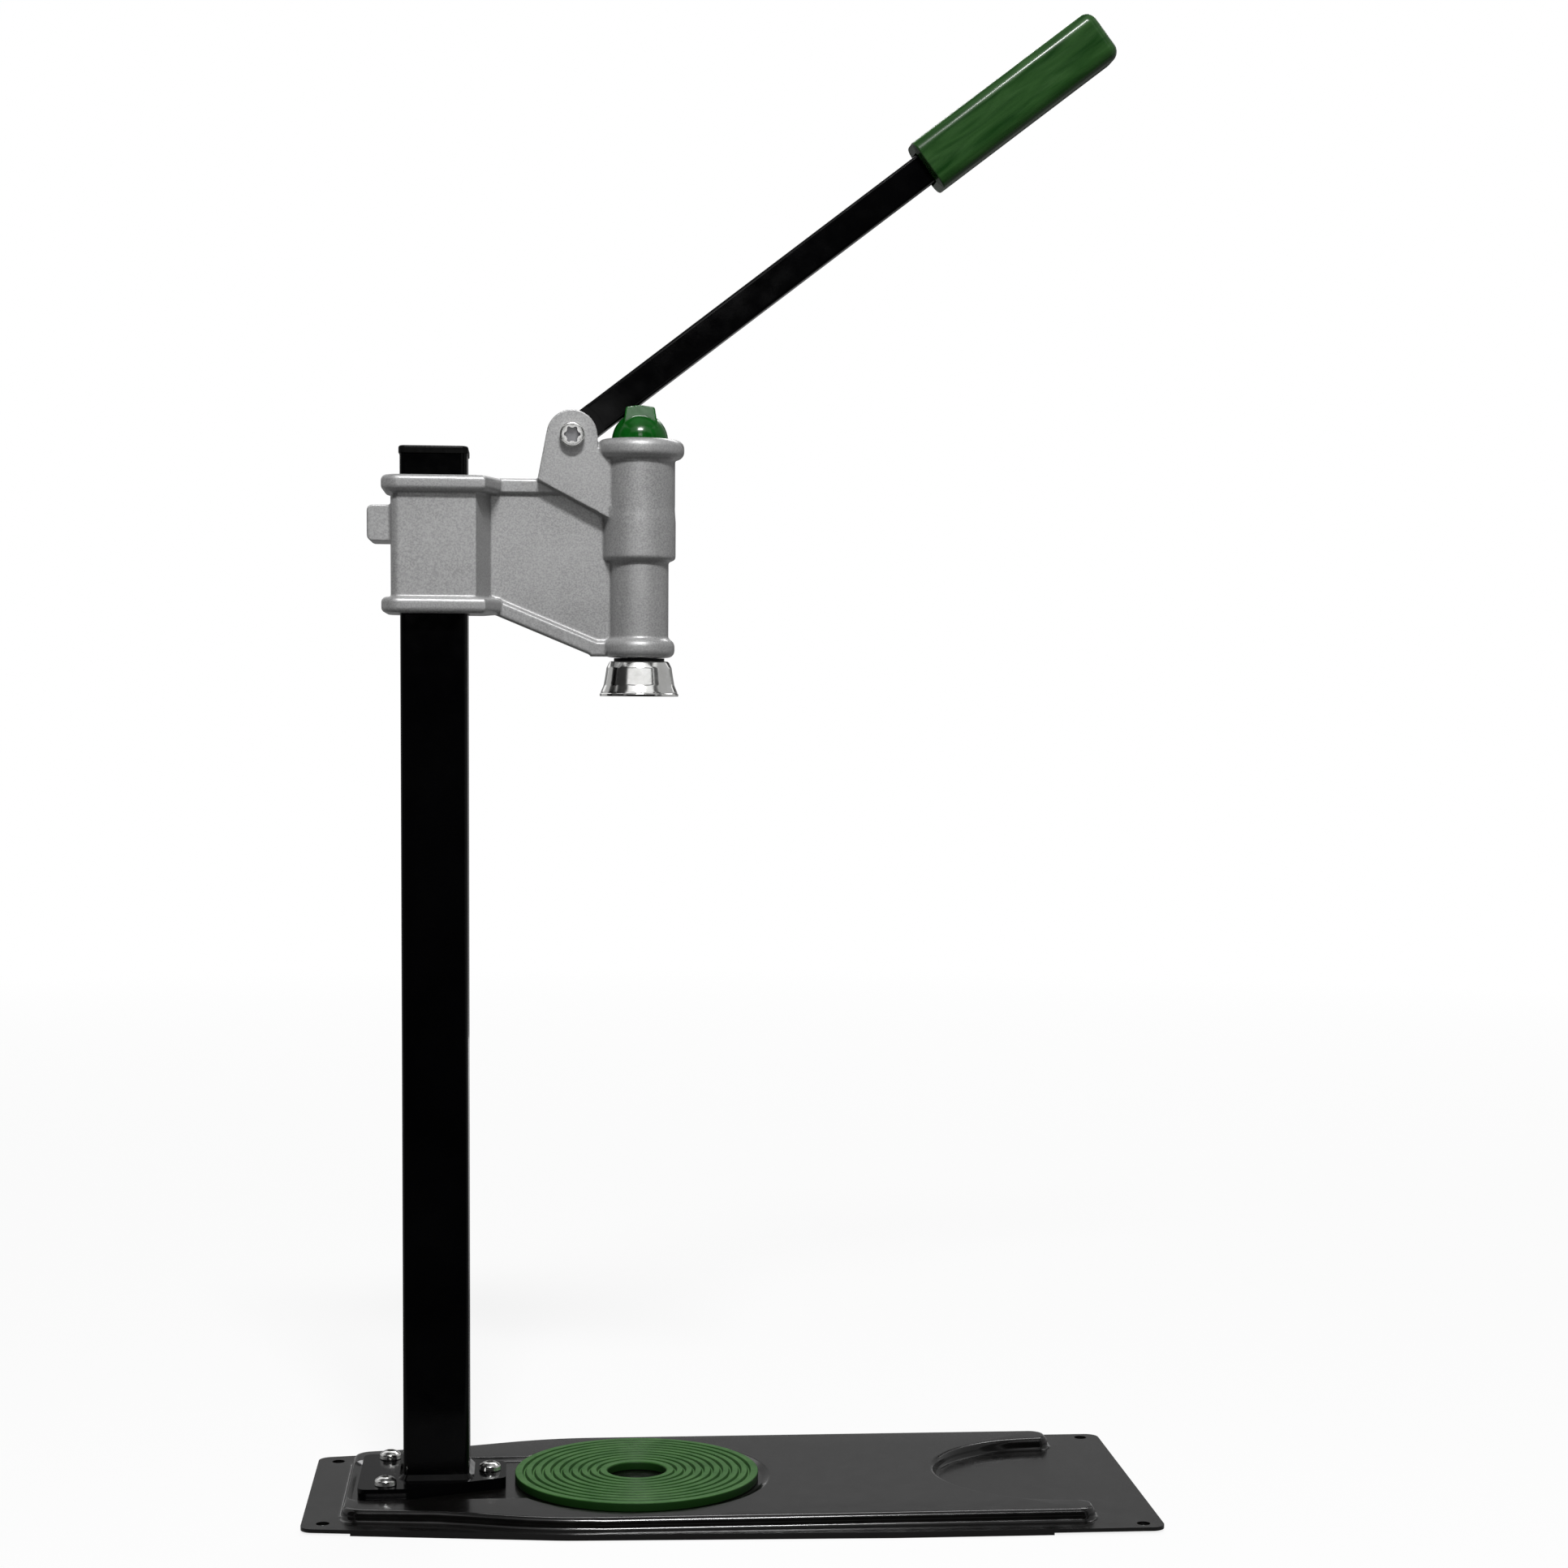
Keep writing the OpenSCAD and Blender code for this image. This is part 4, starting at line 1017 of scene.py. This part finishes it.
@dataclass
class PlungerAssembly:
    """The crimping bell, the saddle that the lever presses on, and the return spring below it."""

    palette: Palette
    rim: float = 20.9 * MM
    lip: float = 1.3 * MM
    shoulder: float = 15.6 * MM
    shoulder_drop: float = 3.4 * MM
    hub: float = 5.5 * MM
    mouth: float = 11 * MM
    magnet_r: float = 8 * MM
    magnet_depth: float = 2 * MM
    flare_r: float = 18.3 * MM
    saddle_grain: float = 0.35 * MM
    saddle_soften: int = 4
    saddle_faces_kept: float = 0.5
    stroke: float = 16.3 * MM

    def build(self) -> None:
        """Build every piece of the plunger."""
        self.bell()
        self.saddle()
        self.spring()

    def bell(self) -> None:
        """The polished bell, spun from its section."""
        low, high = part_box("bell")
        tall = high.z - low.z
        hollow = [
            (self.hub, tall, 0.0), (self.hub, self.mouth + self.magnet_depth, 0.0),
            (self.magnet_r, self.mouth + self.magnet_depth, 0.0), (self.magnet_r, self.mouth, 0.0),
            (12.7 * MM, self.mouth, 0.5 * MM), (13.3 * MM, 5.5 * MM, 6 * MM), (14.9 * MM, 2.6 * MM, 4 * MM),
            (self.flare_r, 0.0, 3 * MM),
        ]
        skin = [
            (self.rim, 0.0, 0.5 * MM), (self.rim, self.lip, 0.3 * MM),
            (self.rim - 0.5 * MM, self.lip + 0.4 * MM, 0.2 * MM), (self.rim - 0.6 * MM, 2.4 * MM, 1.0 * MM),
            (self.rim - 2.1 * MM, 6.0 * MM, 6.0 * MM), (self.rim - 2.9 * MM, 10.5 * MM, 10.0 * MM),
            (self.rim - 3.6 * MM, tall - self.shoulder_drop, 4.0 * MM), (self.shoulder, tall, 1.5 * MM),
        ]
        piece = turned("crimping_bell", rounded(hollow + skin, 8), foot("bell"), 160, 40.0)
        ride(piece, Body.PLUNGER, Slot.CHROME, self.palette, "bell")

    def saddle(self) -> None:
        """The saddle: its CAD mesh welded, with softened moulded edges."""
        piece = cad_copy("plunger_saddle", "moulded_saddle")
        modify(piece, "REMESH", mode="VOXEL", voxel_size=self.saddle_grain, adaptivity=0.0)
        modify(piece, "SMOOTH", factor=0.5, iterations=self.saddle_soften)
        modify(piece, "DECIMATE", decimate_type="COLLAPSE", ratio=self.saddle_faces_kept)
        activate(piece)
        bpy.ops.object.shade_smooth()
        ride(piece, Body.PLUNGER, Slot.GREEN_PLASTIC, self.palette, "plunger_saddle")

    def spring(self) -> None:
        """The return spring: it stands on the head's shelf and rides on the head."""
        piece = cad_copy("return_spring", "coil_spring")
        activate(piece)
        bpy.ops.object.shade_smooth_by_angle(angle=math.radians(60))
        ride(piece, Body.HEAD, Slot.SPRING_STEEL, self.palette, "return_spring")
        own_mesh(piece)


@dataclass(frozen=True)
class Lamp:
    """A soft rectangular lamp: its middle, the point that it faces, its width and height, its watts."""

    name: str
    at: tuple[float, float, float]
    aim: tuple[float, float, float]
    size: tuple[float, float]
    power: float

    def build(self) -> None:
        """Hang the lamp."""
        data = bpy.data.lights.new(self.name, "AREA")
        data.shape = "RECTANGLE"
        data.size, data.size_y = self.size
        data.energy = self.power
        lamp = bpy.data.objects.new(self.name, data)
        bpy.context.scene.collection.objects.link(lamp)
        lamp.location = self.at
        lamp.rotation_euler = (Vector(self.aim) - Vector(self.at)).to_track_quat("-Z", "Y").to_euler()


@dataclass(frozen=True)
class Card:
    """A card that only reflections see, as a photographer sets round a glossy product.

    It has a middle, a width and height, and an angle in degrees about the vertical. Its tone is 1 for white.
    Past its core, a share of its width, it runs out into its edge tone.
    """

    name: str
    at: tuple[float, float, float]
    size: tuple[float, float]
    tone: float
    turn: float = 0.0
    flat: bool = False
    core: float = 0.5
    edge_tone: float = 0.8

    def build(self) -> None:
        """Stand the card up, or lay it flat."""
        deselect()
        spin = (0.0 if self.flat else math.pi / 2, 0, math.radians(self.turn))
        bpy.ops.mesh.primitive_plane_add(size=1, location=self.at, rotation=spin)
        card = named(self.name)
        card.scale = (*self.size, 1)
        graph = Graph(self.name)
        graph.set(Base_Color=(0.0, 0.0, 0.0), Specular_IOR_Level=0.0, Emission_Color=(1.0, 1.0, 1.0),
                  Emission_Strength=self.tone)
        if self.core < 0.5:
            parts = graph.tree.nodes.new("ShaderNodeSeparateXYZ")
            graph.tree.links.new(graph.place, parts.inputs[0])
            side = graph.calc(Operation.SIZE, parts.outputs["X"])
            graph.feed("Emission Strength", graph.span(side, self.tone, self.edge_tone, self.core, 0.5))
        card.data.materials.append(graph.material)
        card.visible_camera = False
        card.visible_diffuse = False
        card.visible_shadow = False


LAMPS = (
    Lamp("key_strip", (0.0, -1.75, 2.35), (-0.05, 0.0, 0.45), (0.7, 0.3), 71.0),
    Lamp("overhead", (0.1, -0.2, 2.3), (0.0, 0.0, 0.2), (2.2, 1.3), 4.0),
    Lamp("back_box", (0.5, 2.1, 2.1), (-0.05, 0.0, 0.3), (1.6, 0.9), 26.0),
)

CARDS = (
    Card("front_flag", (0.0, -1.4, 0.75), (3.0, 1.7), 0.004),
    Card("floor_flag", (0.0, -0.8, 0.003), (3.0, 1.2), 0.015, flat=True),
    Card("left_flag", (-1.6, -0.7, 0.9), (1.7, 2.6), 0.03, turn=-70.0, core=0.35),
    Card("right_flag", (1.5, -0.9, 0.9), (0.7, 2.6), 0.08, turn=60.0, core=0.3),
    Card("left_card", (-1.7, 0.75, 0.9), (1.6, 2.6), 0.45, turn=-115.0),
    Card("right_card", (1.7, 0.3, 0.9), (2.2, 2.6), 0.42, turn=100.0),
    Card("back_flag", (0.2, 1.5, 0.42), (3.0, 0.7), 0.22),
    Card("high_back_flag", (0.5, 1.5, 1.12), (1.6, 0.7), 0.02),
    Card("top_flag", (0.0, 0.1, 2.9), (4.0, 3.0), 0.05, flat=True),
    Card("bell_card", (-0.05, -0.2, 0.517), (0.34, 0.058), 1.0),
    Card("bolt_card", (-0.08, -0.3, 0.593), (0.06, 0.05), 1.0),
    Card("tab_card", (-0.04, -0.5, 0.78), (0.12, 0.1), 6.0),
)


@dataclass
class Studio:
    """Floor, backdrop, lamps and the camera at the photograph's place."""

    focal_px: float = 3511.3
    image_px: float = 1932.0
    principal: tuple[float, float] = (966.0, 1146.9)
    position: tuple[float, float, float] = (-0.10369, -1.5226, 0.43084)
    yaw: float = -0.0878
    pitch: float = -0.0812
    roll: float = -0.0070
    sensor: float = 36.0
    floor_side: float = 30.0
    shade_share: float = 0.15
    fade_start: float = 0.45
    fade_end: float = 3.0
    world_level: float = 0.04
    floor_tone: float = 0.9
    bounce_tone: float = 0.22

    def build(self) -> None:
        """Build the studio."""
        self.camera()
        self.world()
        self.floor()
        for item in (*LAMPS, *CARDS):
            item.build()
        bpy.context.scene.view_settings.view_transform = "Standard"

    def camera(self) -> None:
        """The camera, from the photograph's fitted place and lens."""
        data = bpy.data.cameras.new("photo_camera")
        data.sensor_width = self.sensor
        data.lens = self.focal_px * self.sensor / self.image_px
        data.shift_x = (self.image_px / 2 - self.principal[0]) / self.image_px
        data.shift_y = (self.principal[1] - self.image_px / 2) / self.image_px
        camera = bpy.data.objects.new("photo_camera", data)
        bpy.context.scene.collection.objects.link(camera)
        turn = (Matrix.Rotation(self.yaw, 4, "Z") @ Matrix.Rotation(self.pitch, 4, "X")
                @ Matrix.Rotation(self.roll, 4, "Y") @ Matrix.Rotation(math.pi / 2, 4, "X"))
        camera.matrix_world = Matrix.Translation(self.position) @ turn
        bpy.context.scene.camera = camera
        LOG.info("camera: %.1f mm lens", data.lens)

    def world(self) -> None:
        """White to the camera, in reflections and through clear parts, and a softer light elsewhere."""
        world = bpy.data.worlds.new("studio_world")
        bpy.context.scene.world = world
        world.use_nodes = True
        nodes = Nodes(world.node_tree)
        back = nodes.tree.nodes["Background"]
        back.inputs["Color"].default_value = WHITE
        seen = nodes.seen(nodes.tree.nodes.new("ShaderNodeLightPath"))
        nodes.tree.links.new(nodes.span(seen, self.world_level, 1.0), back.inputs["Strength"])

    def floor(self) -> None:
        """A white floor that keeps the object's shadow and fades into the backdrop."""
        deselect()
        bpy.ops.mesh.primitive_plane_add(size=self.floor_side, location=(0, 0, 0))
        floor = named("floor")
        graph = Graph("white_floor")
        tree = graph.tree
        graph.set(Roughness=0.9, Specular_IOR_Level=0.0)
        path = tree.nodes.new("ShaderNodeLightPath")
        direct = path.outputs["Is Camera Ray"]
        graph.feed("Base Color", graph.blend(direct, (self.bounce_tone,) * 3, (self.floor_tone,) * 3))
        glow = tree.nodes.new("ShaderNodeEmission")
        glow.inputs["Color"].default_value = WHITE
        away = tree.nodes.new("ShaderNodeVectorMath")
        away.operation = "LENGTH"
        tree.links.new(graph.place, away.inputs[0])
        near = graph.span(away.outputs["Value"], 1.0, 0.0, self.fade_start, self.fade_end)
        shaded = graph.calc(Operation.PRODUCT, near, graph.span(direct, 1.0, self.shade_share))
        share = graph.calc(Operation.PRODUCT, graph.calc(Operation.DIFFERENCE, 1.0, shaded), graph.seen(path))
        mix = tree.nodes.new("ShaderNodeMixShader")
        tree.links.new(share, mix.inputs["Fac"])
        tree.links.new(graph.shader.outputs[0], mix.inputs[1])
        tree.links.new(glow.outputs[0], mix.inputs[2])
        tree.links.new(mix.outputs[0], tree.nodes["Material Output"].inputs["Surface"])
        floor.data.materials.append(graph.material)


def dress_frame(frame: dict, palette: Palette) -> None:
    """Give every CAD node the finish of its record slot.

    Args:
        palette: The materials.
    """
    for row in frame["record"]["subparts"]:
        palette.dress(frame["nodes"][row["node"]], Slot(row["material_slot"]))


def corners(box: Sequence[Sequence[float]]) -> list[list[float]]:
    """A box's two corners as plain lists.

    Args:
        box: The lowest and the highest corner.

    Returns:
        The corners.
    """
    return [[float(v) for v in corner] for corner in box]


def main() -> None:
    """Build the studio and every sub-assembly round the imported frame."""
    logging.basicConfig(level=logging.INFO, format="%(name)s: %(message)s")
    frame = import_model()
    palette = Palette()
    pivot = middle("pivot_bush")
    Studio().build()
    dress_frame(frame, palette)
    BaseAssembly(palette).build()
    HeadAssembly(palette).build()
    LeverAssembly(palette, pivot).build()
    PlungerAssembly(palette).build()
    deselect()


if __name__ == "__main__":
    main()
